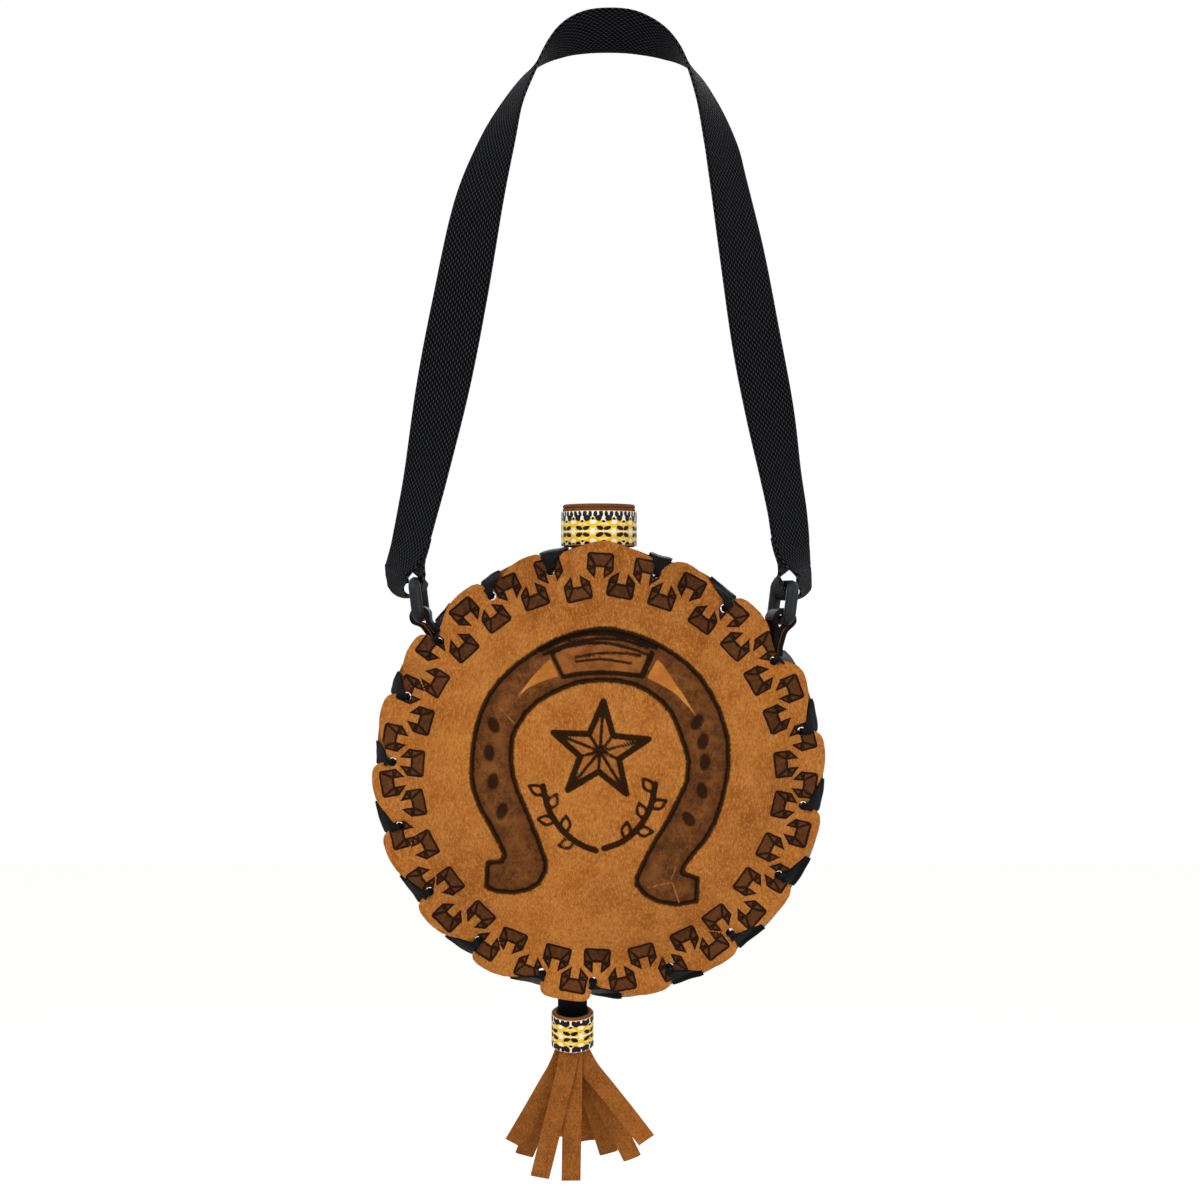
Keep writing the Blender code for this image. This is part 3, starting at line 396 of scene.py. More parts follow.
# How the edge rises from a hole to the next, as (share of the span, share of the height)
FANNED, SHORT, STEEP, CAPPED = range(4)
RISES = [np.array(rise).T for rise in (
    # Gently, under a ribbon that fans out of the hole
    ((0, 0), (0.06, 0.01), (0.15, 0.09), (0.24, 0.28), (0.34, 0.56), (0.46, 0.82), (0.62, 0.97), (1, 1.05)),
    # Sooner, where the ribbon hardly fans
    ((0, 0), (0.06, 0.12), (0.13, 0.55), (0.20, 0.85), (0.30, 1.0), (1, 1.05)),
    # At once, where no ribbon crosses
    ((0, 0), (0.015, 0.22), (0.04, 0.62), (0.08, 0.84), (0.15, 0.97), (0.28, 1.0), (1, 1.05)),
    # In front of the cap
    ((0, 0), (0.03, 0.2), (0.074, 0.4), (0.132, 0.51), (0.2, 0.6), (0.3, 0.75), (0.42, 0.93), (0.5, 1), (1, 1.1)))]
SHORT_STARTS = (RIGHT_HOLES[6] + 360, RIGHT_HOLES[-1] + 360)


def rise_kinds():
    """For each span, which rise starts it and which ends it."""
    kinds = []
    for start, end in zip(HOLE_STARTS, HOLE_ENDS):
        if start == LEFT_HOLES[0]:
            kinds.append((CAPPED, CAPPED))
        elif start < 0:
            kinds.append((FANNED, STEEP))
        elif end > HOLE_STARTS[-1]:
            kinds.append((STEEP, STEEP))
        else:
            kinds.append((SHORT if start in SHORT_STARTS else STEEP, FANNED))
    return np.array(kinds).T


STARTS, ENDS = rise_kinds()


def scallop(angle, side):
    """(edge radius, how far between two holes: 0 at a hole, 1 half way). The back cover's edge is the straighter."""
    angle = (np.asarray(angle, float) - HOLE_STARTS[0]) % 360 + HOLE_STARTS[0]
    k = np.searchsorted(HOLE_STARTS, angle, side="right") - 1
    share = (angle - HOLE_STARTS[k]) / (HOLE_ENDS[k] - HOLE_STARTS[k])
    if side > 0:
        bulge = np.maximum(np.sin(np.pi * share), 0)
        notch = BACK_NOTCH_RADIUS + RAW_OVERHANG * window(angle, *RAW_SPAN)
        return notch + (HOLE_PEAKS[k] + BACK_OVERHANG - BACK_NOTCH_RADIUS) * bulge, bulge
    up = np.choose(STARTS[k], [np.interp(share, *rise) for rise in RISES])
    down = np.choose(ENDS[k], [np.interp(1 - share, *rise) for rise in RISES])
    height = np.minimum(np.minimum(up, down), 1.0)
    return NOTCH_RADIUS + (HOLE_PEAKS[k] - NOTCH_RADIUS) * height, height


def flared_face(radius, angle, bulge):
    """How far a cover's outer face stands off the middle plane. bulge is 0 at a hole and 1 on a scallop."""
    flare = FLARE * (bulge - FLARE_LEVEL) * ease(radius, *FLARE_SPAN)
    return cover_height(radius, angle) + LEATHER + flare * (1 - NECK_CALM * window(angle, *NECK_OPEN))


def outer_face(radius, angle, side):
    """The same at one place of a cover, as a plain number."""
    return float(flared_face(radius, angle, scallop(angle, side)[1]))


def on_clock(radius, angle, depth=0.0):
    """A place from the discs' axis."""
    turn = math.radians(angle)
    return Vector((CENTRE_X + radius * math.sin(turn), depth, -CENTRE_DROP + radius * math.cos(turn)))


# Drawn designs on the front, in millimetres from the disc's centre
SHOE = ((0.5, 72.0), (-11.9, 69.7), (-21.3, 66.3), (-30.6, 61.2), (-40.1, 54.7), (-48.5, 46.7), (-54.2, 39.1),
        (-57.9, 30.7), (-60.5, 22.3), (-62.1, 11.4), (-62.5, 0.5), (-61.6, -6.5), (-58.6, -15.2), (-53.2, -24.8),
        (-48.4, -33.6), (-46.1, -39.1), (-47.9, -42.3), (-54.7, -43.1), (-55.5, -55.4), (-50.0, -57.5),
        (-42.0, -57.8), (-34.9, -56.2), (-29.6, -52.9), (-26.2, -46.6), (-26.1, -42.1), (-28.7, -34.2),
        (-32.2, -25.5), (-36.1, -15.8), (-39.6, -7.9), (-41.8, -1.0), (-43.1, 7.7), (-42.5, 18.7), (-40.4, 23.4),
        (-36.1, 30.4), (-30.5, 36.0), (-23.5, 40.3), (-16.5, 43.5), (-9.5, 45.9), (0.5, 46.9), (9.7, 46.6),
        (16.8, 44.9), (23.8, 41.7), (30.8, 36.5), (35.5, 30.9), (38.8, 23.4), (41.6, 15.5), (43.8, 7.5),
        (43.0, -2.7), (39.4, -10.6), (34.2, -21.0), (28.1, -30.7), (22.9, -40.3), (18.5, -50.1), (18.6, -53.7),
        (22.9, -58.7), (30.0, -62.4), (38.9, -63.8), (48.1, -62.5), (48.4, -50.7), (40.9, -48.2), (41.3, -45.0),
        (45.7, -38.9), (51.8, -31.9), (56.7, -23.1), (60.2, -12.7), (62.4, -3.0), (63.5, 5.0), (63.3, 17.6),
        (61.4, 24.6), (58.7, 32.6), (54.9, 40.1), (49.7, 48.1), (42.7, 55.1), (35.6, 60.3), (26.3, 65.5),
        (16.9, 69.2), (7.4, 71.6))
WEDGES = (((-23.6, 57.5), (-19.8, 48.7), (-28.7, 45.8), (-35.3, 42.5), (-43.7, 33.2), (-38.1, 41.6), (-32.5, 48.6),
           (-27.8, 53.8)),
          ((28.6, 57.0), (23.4, 47.9), (31.8, 43.5), (37.9, 39.8), (48.7, 28.0), (41.7, 39.2), (36.5, 46.7),
           (31.9, 53.8)))
TOE_BOX = ((-21.6, 60.5), (-9.0, 64.2), (0.5, 64.8), (10.0, 63.9), (24.0, 59.5), (20.6, 49.9), (9.3, 50.6),
           (0.5, 50.9), (-9.5, 50.4), (-16.8, 48.9))
# Strokes: half width, then the points that it goes through
STROKES = (
    (0.9, (-23.6, 60.5), (-17.6, 48.3)),
    (1.5, (26.0, 59.5), (21.1, 49.0)),
    (1.3, (-29.0, 61.5), (-18.0, 66.7), (-7.0, 69.6), (4.0, 70.0), (15.0, 68.2), (28.0, 62.8)),
    (0.8, (-27.0, 59.2), (-14.0, 65.0), (0.5, 67.2), (12.0, 66.6), (24.0, 62.4)),
    (0.8, (-23.6, 59.8), (-16.5, 62.7), (-7.2, 64.6), (0.5, 64.9), (7.4, 64.3), (16.8, 61.8), (25.5, 58.5)),
    (1.2, (-17.6, 48.3), (-9.5, 50.0), (0.5, 50.5), (9.3, 50.1), (21.6, 48.8)),
    (0.75, (-11.4, 58.2), (0.5, 59.9), (7.4, 60.1), (14.5, 59.7), (20.1, 58.5)),
    (0.7, (-11.1, 55.9), (0.5, 57.1), (5.1, 56.6), (15.9, 55.0)),
)
# Nail holes: place and degrees of tilt. Scratches are strokes too
NAIL_HOLES = ((-51.7, 24.7, 25), (-53.8, 11.1, 4), (-51.9, -2.8, -12), (-47.5, -17.2, -22), (48.0, 26.2, -30),
              (50.9, 16.9, -12), (51.9, 6.7, -4), (50.4, -7.2, 12), (43.9, -21.2, 35))
NAIL_HALF_SIZES = (2.7, 4.2)
PALE_STROKES = ((0.5, (-48.8, 33.3), (-44.6, 29.2), (-41.3, 25.1)), (0.45, (49.6, 27.0), (51.0, 24.3)),
                (0.55, (24, -55), (36, -52.5), (39.5, -63)), (0.5, (37.7, -45), (35.5, -51)))
# A plain star with leafy sprigs in the middle of the front
STAR_CENTRE = (0.5, 12.0)
STAR_RADII = (24.5, 10.0)
STAR_TURN = 4.0
BOLD, THIN = 1.6, 0.85
SPRIGS = (
    ((-1.5, -36.5), (-10.0, -33.0), (-18.5, -26.0), (-24.5, -16.5), (-27.5, -5.0)),
    ((2.5, -35.5), (11.5, -32.0), (19.5, -25.0), (25.0, -15.5), (27.5, -4.0)),
)
# Leaves: share of the way up the sprig, side
LEAF_SPOTS = ((0.30, 1), (0.46, -1), (0.62, 1), (0.78, -1), (0.93, 1))
LEAF_LENGTH = 8.6
LEAF_LEAN = 0.85
LEAF_BOW = 2.3


def star_outline():
    """Its tips and hollows in turn."""
    tips = []
    for k in range(10):
        turn = math.radians(STAR_TURN + 36 * k)
        reach = STAR_RADII[k % 2]
        tips.append((STAR_CENTRE[0] + reach * math.sin(turn), STAR_CENTRE[1] + reach * math.cos(turn)))
    return tips


def star_strokes():
    tips = star_outline()
    return [(BOLD, *tips, tips[0]), *((THIN, STAR_CENTRE, tip) for tip in tips)]


def leaf_strokes():
    found = []
    for stem in SPRIGS:
        run = curve_through(stem, 12)
        found.append((BOLD, *map(tuple, run)))
        for share, side in LEAF_SPOTS:
            k = int(share * (len(run) - 2))
            foot, ahead = run[k], run[k + 1] - run[k]
            turn = math.atan2(ahead[1], ahead[0]) + side * LEAF_LEAN
            out = np.array((math.cos(turn), math.sin(turn)))
            off = np.array((-out[1], out[0]))
            tip = foot + LEAF_LENGTH * out
            for bow in (1, -1):
                middle = foot + 0.5 * LEAF_LENGTH * out + bow * LEAF_BOW * off
                found.append((THIN, tuple(foot), *map(tuple, curve_through((foot, middle, tip), 5)[1:])))
    return found


def off_segments(spots, a, b):
    """Distance of each spot from the segment a to b."""
    a, b = np.array(a), np.array(b)
    d = b - a
    t = np.clip(((spots - a) @ d) / max(d @ d, 1e-9), 0, 1)
    return np.linalg.norm(spots - (a + t[:, None] * d), axis=1)


def inside_outline(spots, outline):
    """Signed distance to a closed outline, positive inside."""
    away = np.full(len(spots), 1e9)
    inside = np.zeros(len(spots), bool)
    for a, b in zip(outline, [*outline[1:], outline[0]]):
        away = np.minimum(away, off_segments(spots, a, b))
        over = (a[1] > spots[:, 1]) != (b[1] > spots[:, 1])
        rise = b[1] - a[1] if b[1] != a[1] else 1e-9
        inside ^= over & (spots[:, 0] < (b[0] - a[0]) * (spots[:, 1] - a[1]) / rise + a[0])
    return np.where(inside, away, -away)


def in_strokes(spots, strokes):
    """How deep each spot lies in the nearest stroke."""
    best = np.full(len(spots), -50.0)
    for half, *run in strokes:
        for a, b in zip(run, run[1:]):
            best = np.maximum(best, half - off_segments(spots, a, b))
    return best


def in_nails(spots):
    """How deep each spot lies in the nearest nail hole."""
    best = np.full(len(spots), NO_DRAWING)
    wide, tall = NAIL_HALF_SIZES
    for x, z, tilt in NAIL_HOLES:
        c, s = math.cos(math.radians(tilt)), math.sin(math.radians(tilt))
        u = ((spots[:, 0] - x) * c + (spots[:, 1] - z) * s) / wide
        v = (-(spots[:, 0] - x) * s + (spots[:, 1] - z) * c) / tall
        best = np.maximum(best, (1 - np.hypot(u, v)) * wide)
    return best


def drawn_designs(spots):
    """How deep each spot of the front lies in each drawn part, in millimetres."""
    return {"shoe": inside_outline(spots, SHOE), "box": inside_outline(spots, TOE_BOX),
            "wedge": np.maximum(*(inside_outline(spots, wedge) for wedge in WEDGES)),
            "pale": in_strokes(spots, PALE_STROKES), "toe": in_strokes(spots, STROKES),
            "motif": in_strokes(spots, [*star_strokes(), *leaf_strokes()]),
            "star": inside_outline(spots, star_outline()), "nail": in_nails(spots)}


# Border stamps: two rows that interlock, each stamp with a notch in one side and slanted tips beside it. Rows are
# (radius, shift round as a share of the pitch, 1 with the notches outward)
STAMPS_ROUND = 27
STAMP_ROWS = ((93.2, 0.5, 1), (102.6, 0.0, -1))
STAMP_HALF_WIDTH = 6.7
STAMP_LENGTH = 12.8
STAMP_WAIST = 7.2
STAMP_NOTCH = 2.05
TIP_SLANT = 0.9
# Makes a height under the slanted tip a distance from it
TIP_SQUARE = 0.74
# How far stamps stray: degrees round the disc, millimetres outward, degrees of tilt. The last number that is drawn
# only keeps the ones after it as they are
STAMP_STRAY = (0.55, 0.45, 3.5, 1.0)
# The leather's slow waves, and their lengths from least to most in millimetres
WAVES_ADDED = 7
WAVE_LENGTHS = (22, 60)


def stamp_places(seed):
    """Middle, direction of the notch, and a random number for each border stamp."""
    draw = np.random.default_rng(seed)
    found = []
    for radius, phase, outward in STAMP_ROWS:
        for k in range(STAMPS_ROUND):
            turn, shift, tilt, _ = draw.normal(0, STAMP_STRAY)
            angle = math.radians((k + phase) * 360 / STAMPS_ROUND + turn)
            heading = angle + math.radians(tilt)
            middle = (radius + shift) * np.array((math.sin(angle), math.cos(angle)))
            up = outward * np.array((math.sin(heading), math.cos(heading)))
            found.append((middle, up, draw.random()))
    return [np.array(column) for column in zip(*found)]


def in_stamp(spots, middle, up):
    """A spot's place in its stamp: u across it, v from the shut side toward the notch."""
    away = spots - middle
    return (away * np.stack([up[..., 1], -up[..., 0]], -1)).sum(-1), (away * up).sum(-1) + STAMP_LENGTH / 2


def stamp_depth(u, v):
    """Signed distance into a stamp, positive inside."""
    a = np.abs(u)
    prong = np.minimum(a - STAMP_NOTCH, (STAMP_LENGTH - TIP_SLANT * (a - STAMP_NOTCH) - v) * TIP_SQUARE)
    return np.minimum(np.minimum(STAMP_HALF_WIDTH - a, v), np.maximum(STAMP_WAIST - v, prong))


def concentric(n):
    """A square grid laid out over a disc: (share of the radius, clock angle in degrees)."""
    a, b = np.meshgrid(np.linspace(-1, 1, n), np.linspace(-1, 1, n))
    wide = np.abs(a) > np.abs(b)
    reach = np.where(wide, a, b)
    with np.errstate(divide="ignore", invalid="ignore"):
        turn = np.where(wide, np.pi / 4 * b / a, np.pi / 2 - np.pi / 4 * a / b)
    turn = np.nan_to_num(turn)
    x, z = reach * np.cos(turn), reach * np.sin(turn)
    return np.hypot(x, z).ravel(), np.degrees(np.arctan2(x, z)).ravel()


def waves(x, z, seed):
    """Slow uneven swelling of hand-worked leather, about 1 at its most."""
    draw = np.random.default_rng(seed)
    total = np.zeros_like(x)
    for _ in range(WAVES_ADDED):
        turn, phase = draw.random(2) * 2 * np.pi
        length = draw.uniform(*WAVE_LENGTHS)
        total += np.sin(2 * np.pi * (x * np.cos(turn) + z * np.sin(turn)) / length + phase)
    return total / (WAVES_ADDED / 2)


def nearest(spots, middles):
    """Which of the middles each spot is nearest to."""
    return ((spots[:, None, :] - middles[None]) ** 2).sum(2).argmin(1)


def quad_sides(quads):
    """Each quad's four sides, in its own direction."""
    return np.concatenate([quads[:, [0, 1]], quads[:, [1, 2]], quads[:, [2, 3]], quads[:, [3, 0]]])


def cover_sheet(spots, side):
    """The grid's quads without those in the lace holes, and the sheet's border: the sides that one quad has alone."""
    n = COVER_GRID
    first = (np.arange(n - 1)[:, None] * n + np.arange(n - 1)).ravel()
    quads = np.stack([first, first + n, first + n + 1, first + 1], 1)[:, ::side]
    centres = spots[quads].mean(1)
    for middle in HOLE_MIDDLES:
        keep = np.linalg.norm(centres - middle / MM, axis=1) >= HOLE_RADIUS / MM
        quads, centres = quads[keep], centres[keep]
    sides, counts = np.unique(np.sort(quad_sides(quads), axis=1), axis=0, return_counts=True)
    return quads, sides[counts == 1]


def round_holes(x, z, inside):
    """Draws the border of each lace hole onto its circle."""
    for middle in HOLE_MIDDLES:
        away = np.stack([x - middle[0], z - middle[1]], 1)
        off = np.hypot(*away.T)
        ring = inside & (off < HOLE_RADIUS * HOLE_BORDER)
        x[ring] = middle[0] + away[ring, 0] / off[ring] * HOLE_RADIUS
        z[ring] = middle[1] + away[ring, 1] / off[ring] * HOLE_RADIUS


def build_cover(name, side, looks, seed):
    """One cover as a sheet with two skins. Its stamps and its drawn parts are kept as numbers for the look."""
    share, angle = concentric(COVER_GRID)
    edge, bulge = scallop(angle, side)
    radius = share * DISC_BASE + (edge - DISC_BASE) * ease(share, SCALLOP_START, 1.0)
    x, z = radius * np.sin(np.radians(angle)), radius * np.cos(np.radians(angle))
    spots = np.stack([x, z], 1) / MM
    middles, ups, draws = stamp_places(seed)
    own = nearest(spots, middles)
    drawn = drawn_designs(spots) if side < 0 else {}

    outer = flared_face(radius, angle, bulge)
    outer += SWELL * waves(*spots.T, seed) * ease(share, *SWELL_SHARES)
    outer -= EDGE_DIP * ease(share, *EDGE_SHARES)
    for middle in HOLE_MIDDLES:
        outer -= HOLE_DIP * np.exp(-((np.hypot(x - middle[0], z - middle[1]) / HOLE_DIP_REACH) ** 2))
    if drawn:
        outer -= LINE_DEPTH * ease(SHOE_LINE - np.abs(drawn["shoe"]), *SHOE_FADE)
        outer -= LINE_DEPTH * ease(np.maximum(drawn["motif"], drawn["toe"]), *STROKE_FADE)
        outer -= NAIL_DEPTH * ease(drawn["nail"], *NAIL_FADE)
    outer -= STAMP_DEPTH * ease(stamp_depth(*in_stamp(spots, middles[own], ups[own])), *STAMP_FADE)
    inner = np.minimum(outer - LEATHER, cover_height(radius, angle) + INNER_RISE)
    inner = np.maximum(inner, outer - LEATHER - THICKER)

    sheet, rim = cover_sheet(spots, side)
    round_holes(x, z, np.isin(np.arange(len(x)), rim) & (share < RIM_SHARE))
    directed = set(map(tuple, quad_sides(sheet)))
    count = len(x)
    walls = [(b, a, a + count, b + count) if (a, b) in directed else (a, b, b + count, a + count) for a, b in rim]
    used = np.unique(sheet)
    renumber = np.full(2 * count, -1)
    renumber[np.concatenate([used, used + count])] = np.arange(2 * len(used))
    faces = [tuple(map(int, renumber[list(face)])) for face in (*sheet, *(sheet[:, ::-1] + count), *walls)]
    skins = [np.stack([x + CENTRE_X, side * skin, z - CENTRE_DROP], 1) for skin in (outer, inner)]
    points = np.concatenate([skin[used] for skin in skins])
    raw = (side > 0) & (window(angle[sheet[:, 0]], *RAW_SPAN) > 0.5) & (share[sheet].min(1) > RAW_SHARE)
    picks = [0] * len(sheet) + raw.astype(int).tolist() + [1] * len(walls)
    made = piece(f"{name}_suede", points, faces, looks, "canteen", 40, picks)

    for key, values in drawn.items():
        store(made, key, np.concatenate([values[used], np.full(len(used), NO_DRAWING)]))
    # Each face of the outer skin takes the stamp nearest to it
    pick = nearest(spots[sheet].mean(1), middles)
    u, v = in_stamp(spots[sheet], middles[pick][:, None], ups[pick][:, None])
    corners = np.full((len(made.data.loops), 3), NO_STAMP)
    corners[: sheet.size] = np.stack([u, v, np.broadcast_to(draws[pick][:, None], u.shape)], -1).reshape(-1, 3)
    store(made, "stamp", corners, "CORNER")
    soft(made, "tan_suede", name)


# ---- leather looks
SUEDE_DARK, SUEDE, SUEDE_LIGHT = linear(138, 77, 26), linear(169, 100, 38), linear(202, 134, 66)
BURNT, SHOE_FILL, SHOE_DARK = linear(15, 8, 4), linear(122, 73, 35), linear(78, 44, 21)
# Where a stamp's burnt lines end and where they are full, how round its corners are, and its creases as the ends of
# lines, all in millimetres
CREASE = (0.95, 0.3)
STAMP_ROUND = 1.7
STAMP_CREASES = ((6.4, 0.2, 2.1, 7.3), (2.05, 7.2, 6.3, 9.0))
# The level crease, and how far from the middle it runs
STAMP_SILL = (7.1, 6.6)


def suede_ground(look, dark=SUEDE_DARK, middle=SUEDE, light=SUEDE_LIGHT, scale=1.0):
    """Mottled nap: slow patches, a mid-sized cloud, fibres and fine lint."""
    slow = look.noise(9 * scale, 3, 0.5).step(0.32, 0.68)
    cloud = look.noise(75 * scale, 4, 0.65).step(0.3, 0.72)
    lint = look.noise(1300 * scale, 2, 0.6, stretch=(1.0, 1.0, 0.45))
    fibre = look.noise(520 * scale, 4, 0.75)
    ground = look.over(look.mix(slow, dark, middle), (cloud * 0.5, light),
                       (fibre.step(0.5, 0.72) * 0.55, light), (fibre.step(0.5, 0.3) * 0.6, dark),
                       (lint.step(0.48, 0.7) * 0.6, light), (lint.step(0.5, 0.3) * 0.55, dark))
    # Fine curled hairs lie on the nap, along the level lines of two noises
    for size, part, shade in ((300, 0.5, light), (430, 0.35, dark)):
        hair = (look.noise(size * scale, 3, 0.6) - 0.5).size().step(0.018, 0.004)
        ground = look.mix(hair * cloud * part, ground, shade)
    return ground, lint, cloud


def nap(look, lint, cloud):
    """Lint and cloud stand up a little."""
    look.bump(lint * 0.6 + cloud * 0.5, 0.0004, 0.6)


def line_through(u, v, x0, y0, x1, y1):
    """Distance from the line through two spots."""
    length = math.hypot(x1 - x0, y1 - y0)
    return ((u - x0) * ((y1 - y0) / length) + (v - y0) * (-(x1 - x0) / length)).size()


def stamped(look, ground, wobble):
    """The two border rows pressed dark into the leather."""
    u, v, draw = look.numbers("stamp")
    a = u.size()
    prong = (a - STAMP_NOTCH).least((STAMP_LENGTH - (a - STAMP_NOTCH) * TIP_SLANT - v) * TIP_SQUARE)
    from_side, from_foot = (STAMP_ROUND - (STAMP_HALF_WIDTH - a)).most(0.0), (STAMP_ROUND - v).most(0.0)
    corner = STAMP_ROUND - (from_side * from_side + from_foot * from_foot).op("SQRT")
    depth = corner.least((STAMP_WAIST - v).most(prong)) + wobble * 0.9
    fill = depth.step(-0.2, 0.25)
    slanted, shoulder = (line_through(a, v, *crease) for crease in STAMP_CREASES)
    sill = (v - STAMP_SILL[0]).size() + (a - STAMP_SILL[1]).most(0.0)
    lines = ((depth - 0.45).size().least(slanted.least(shoulder).least(sill)) + wobble * 0.7).step(*CREASE) * fill
    pressed = look.over(look.mix(draw, linear(64, 36, 17), linear(92, 53, 26)),
                        (look.noise(500, 3, 0.7).step(0.35, 0.75) * 0.4, linear(122, 74, 38)),
                        # A burnt shade creeps in from the rim of each stamp
                        (depth.step(1.6, 0.0) * 0.5, linear(54, 28, 13)))
    return look.over(ground, (fill, pressed), (lines * 0.85, BURNT)), fill


def shoe_fill(look, shoe, lint, cloud, wobble):
    """The horseshoe's worked ground, with the box at its toe and the two pale wedges beside it."""
    streak = look.noise(130, 5, 0.8).step(0.36, 0.64)
    box = look.mix(streak, linear(116, 68, 32), linear(150, 90, 44))
    return look.over(look.mix(streak, SHOE_DARK, SHOE_FILL), (lint.step(0.45, 0.8) * 0.35, linear(150, 95, 50)),
                     # Worked darker toward both edges of the band
                     (shoe.step(7.0, 1.0) * 0.45, linear(66, 35, 16)),
                     ((look.number("box") + wobble * 0.8).step(-0.3, 0.4), box),
                     ((look.number("wedge") + wobble * 0.6).step(-0.2, 0.4), look.mix(cloud, SUEDE, SUEDE_LIGHT)))


def cover_look(name, drawn):
    look = Look(name, 0.93, 0.06)
    ground, lint, cloud = suede_ground(look)
    wobble = look.noise(260, 3, 0.6) - 0.5
    if drawn:
        fuzz = look.noise(620, 2, 0.6) - 0.5
        shoe = look.number("shoe")
        ground = look.over(
            ground, ((shoe + fuzz * 0.8).step(-0.3, 0.4), shoe_fill(look, shoe, lint, cloud, wobble)),
            ((shoe.size() + fuzz + wobble * 0.5).step(1.9, 0.7) * 0.93, BURNT),
            ((look.number("toe") + fuzz * 0.9).step(-0.35, 0.35) * 0.9, BURNT),
            ((look.number("star") + fuzz * 0.5).step(-0.2, 0.6) * 0.35, SHOE_FILL),
            ((look.number("motif") + fuzz * 0.8 + wobble * 0.4).step(-0.3, 0.4) * 0.95, BURNT),
            ((look.number("nail") + fuzz * 0.9 + wobble).step(-0.7, 0.6) * 0.9, linear(34, 18, 9)),
            ((look.number("pale") + fuzz * 0.25).step(-0.1, 0.45) * 0.5, linear(190, 126, 68)))
    ground, pressed = stamped(look, ground, wobble)
    look.colour(ground)
    look.roughness(pressed * -0.12 + 0.93)
    nap(look, lint, cloud)
    return look.made


def plain_suede(name, dark, middle, light, scale=1.0, roughness=0.93):
    look = Look(name, roughness, 0.15)
    ground, lint, cloud = suede_ground(look, dark, middle, light, scale)
    look.colour(ground)
    nap(look, lint, cloud)
    return look.made


FRONT = cover_look("front_suede", True)
REAR = cover_look("back_suede", False)
CUT_EDGE = plain_suede("cut_edge", linear(172, 130, 92), linear(196, 156, 116), linear(220, 186, 148))
CAP_LEATHER = plain_suede("cap_leather", linear(80, 42, 18), linear(110, 64, 31), linear(138, 87, 48), 1.6, 0.8)
FRINGE = plain_suede("fringe_suede", linear(120, 64, 18), linear(150, 86, 30), linear(178, 112, 50), 1.4)
STRAP_LEATHER = plain_suede("strap_leather", linear(104, 60, 28), linear(130, 80, 40), linear(152, 100, 56), 1.6, 0.8)

# Patterns that follow a piece's run are drawn in millimetres
IN_MM = 1000.0
# The webbing's dashes: their length along and their columns' width across
DASH_LENGTH, DASH_WIDTH = 2.9, 1.3
DASH_SLANT = 0.12


def satin_look():
    look = Look("black_satin", 0.5, 0.08)
    along, _, _ = look.numbers("weave")
    weave = (along * 5200.0).op("SINE") * 0.5 + 0.5
    soft = look.noise(240, 3, 0.6)
    look.colour(look.mix(soft, linear(4, 4, 6), linear(11, 12, 15)))
    look.roughness(soft * 0.2 + 0.4)
    look.bump(weave * 0.25 + soft, 0.0003, 0.5)
    return look.made


def webbing_look():
    """Rows of small slanted dashes, as in a heavy twill webbing, with a painted highlight on each raised middle."""
    look = Look("black_webbing", 0.62, 0.04)
    along, across, _ = look.numbers("weave")
    columns = across * IN_MM * (1 / DASH_WIDTH)
    within = (columns.op("FRACT") - 0.5) * 2.0
    shifted = along * IN_MM * (1 / DASH_LENGTH) + (columns.op("FLOOR") * 0.5).op("FRACT") + within * DASH_SLANT
    dash = (shifted.op("FRACT") - 0.5).size() * 2.0
    hump = (1.0 - dash * dash) * (1.0 - within * within).most(0.0)
    grain = look.noise(1500, 2, 0.6)
    # lift is each dash's raised middle. The colour below paints it lighter there as a painted highlight, and the
    # roughness drops there too.
    lift = hump.step(0.5, 0.95)
    look.colour(look.mix(lift * (grain + 0.2), linear(2, 2, 3), linear(62, 63, 69)))
    look.roughness(lift * -0.14 + 0.7)
    look.bump(hump + grain * 0.3, 0.0006, 0.8)
    return look.made


def plastic_look(name, colour, roughness, wear=0.35):
    look = Look(name, roughness, 0.22)
    soft = look.noise(180, 3, 0.6)
    look.colour(look.mix(soft.step(0.3, 0.7) * wear, colour, tuple(c * 1.5 + 0.002 for c in colour)))
    look.roughness(soft * 0.18 + (roughness - 0.09))
    look.bump(look.noise(2600, 1, 0.5), 0.00008, 0.35)
    return look.made


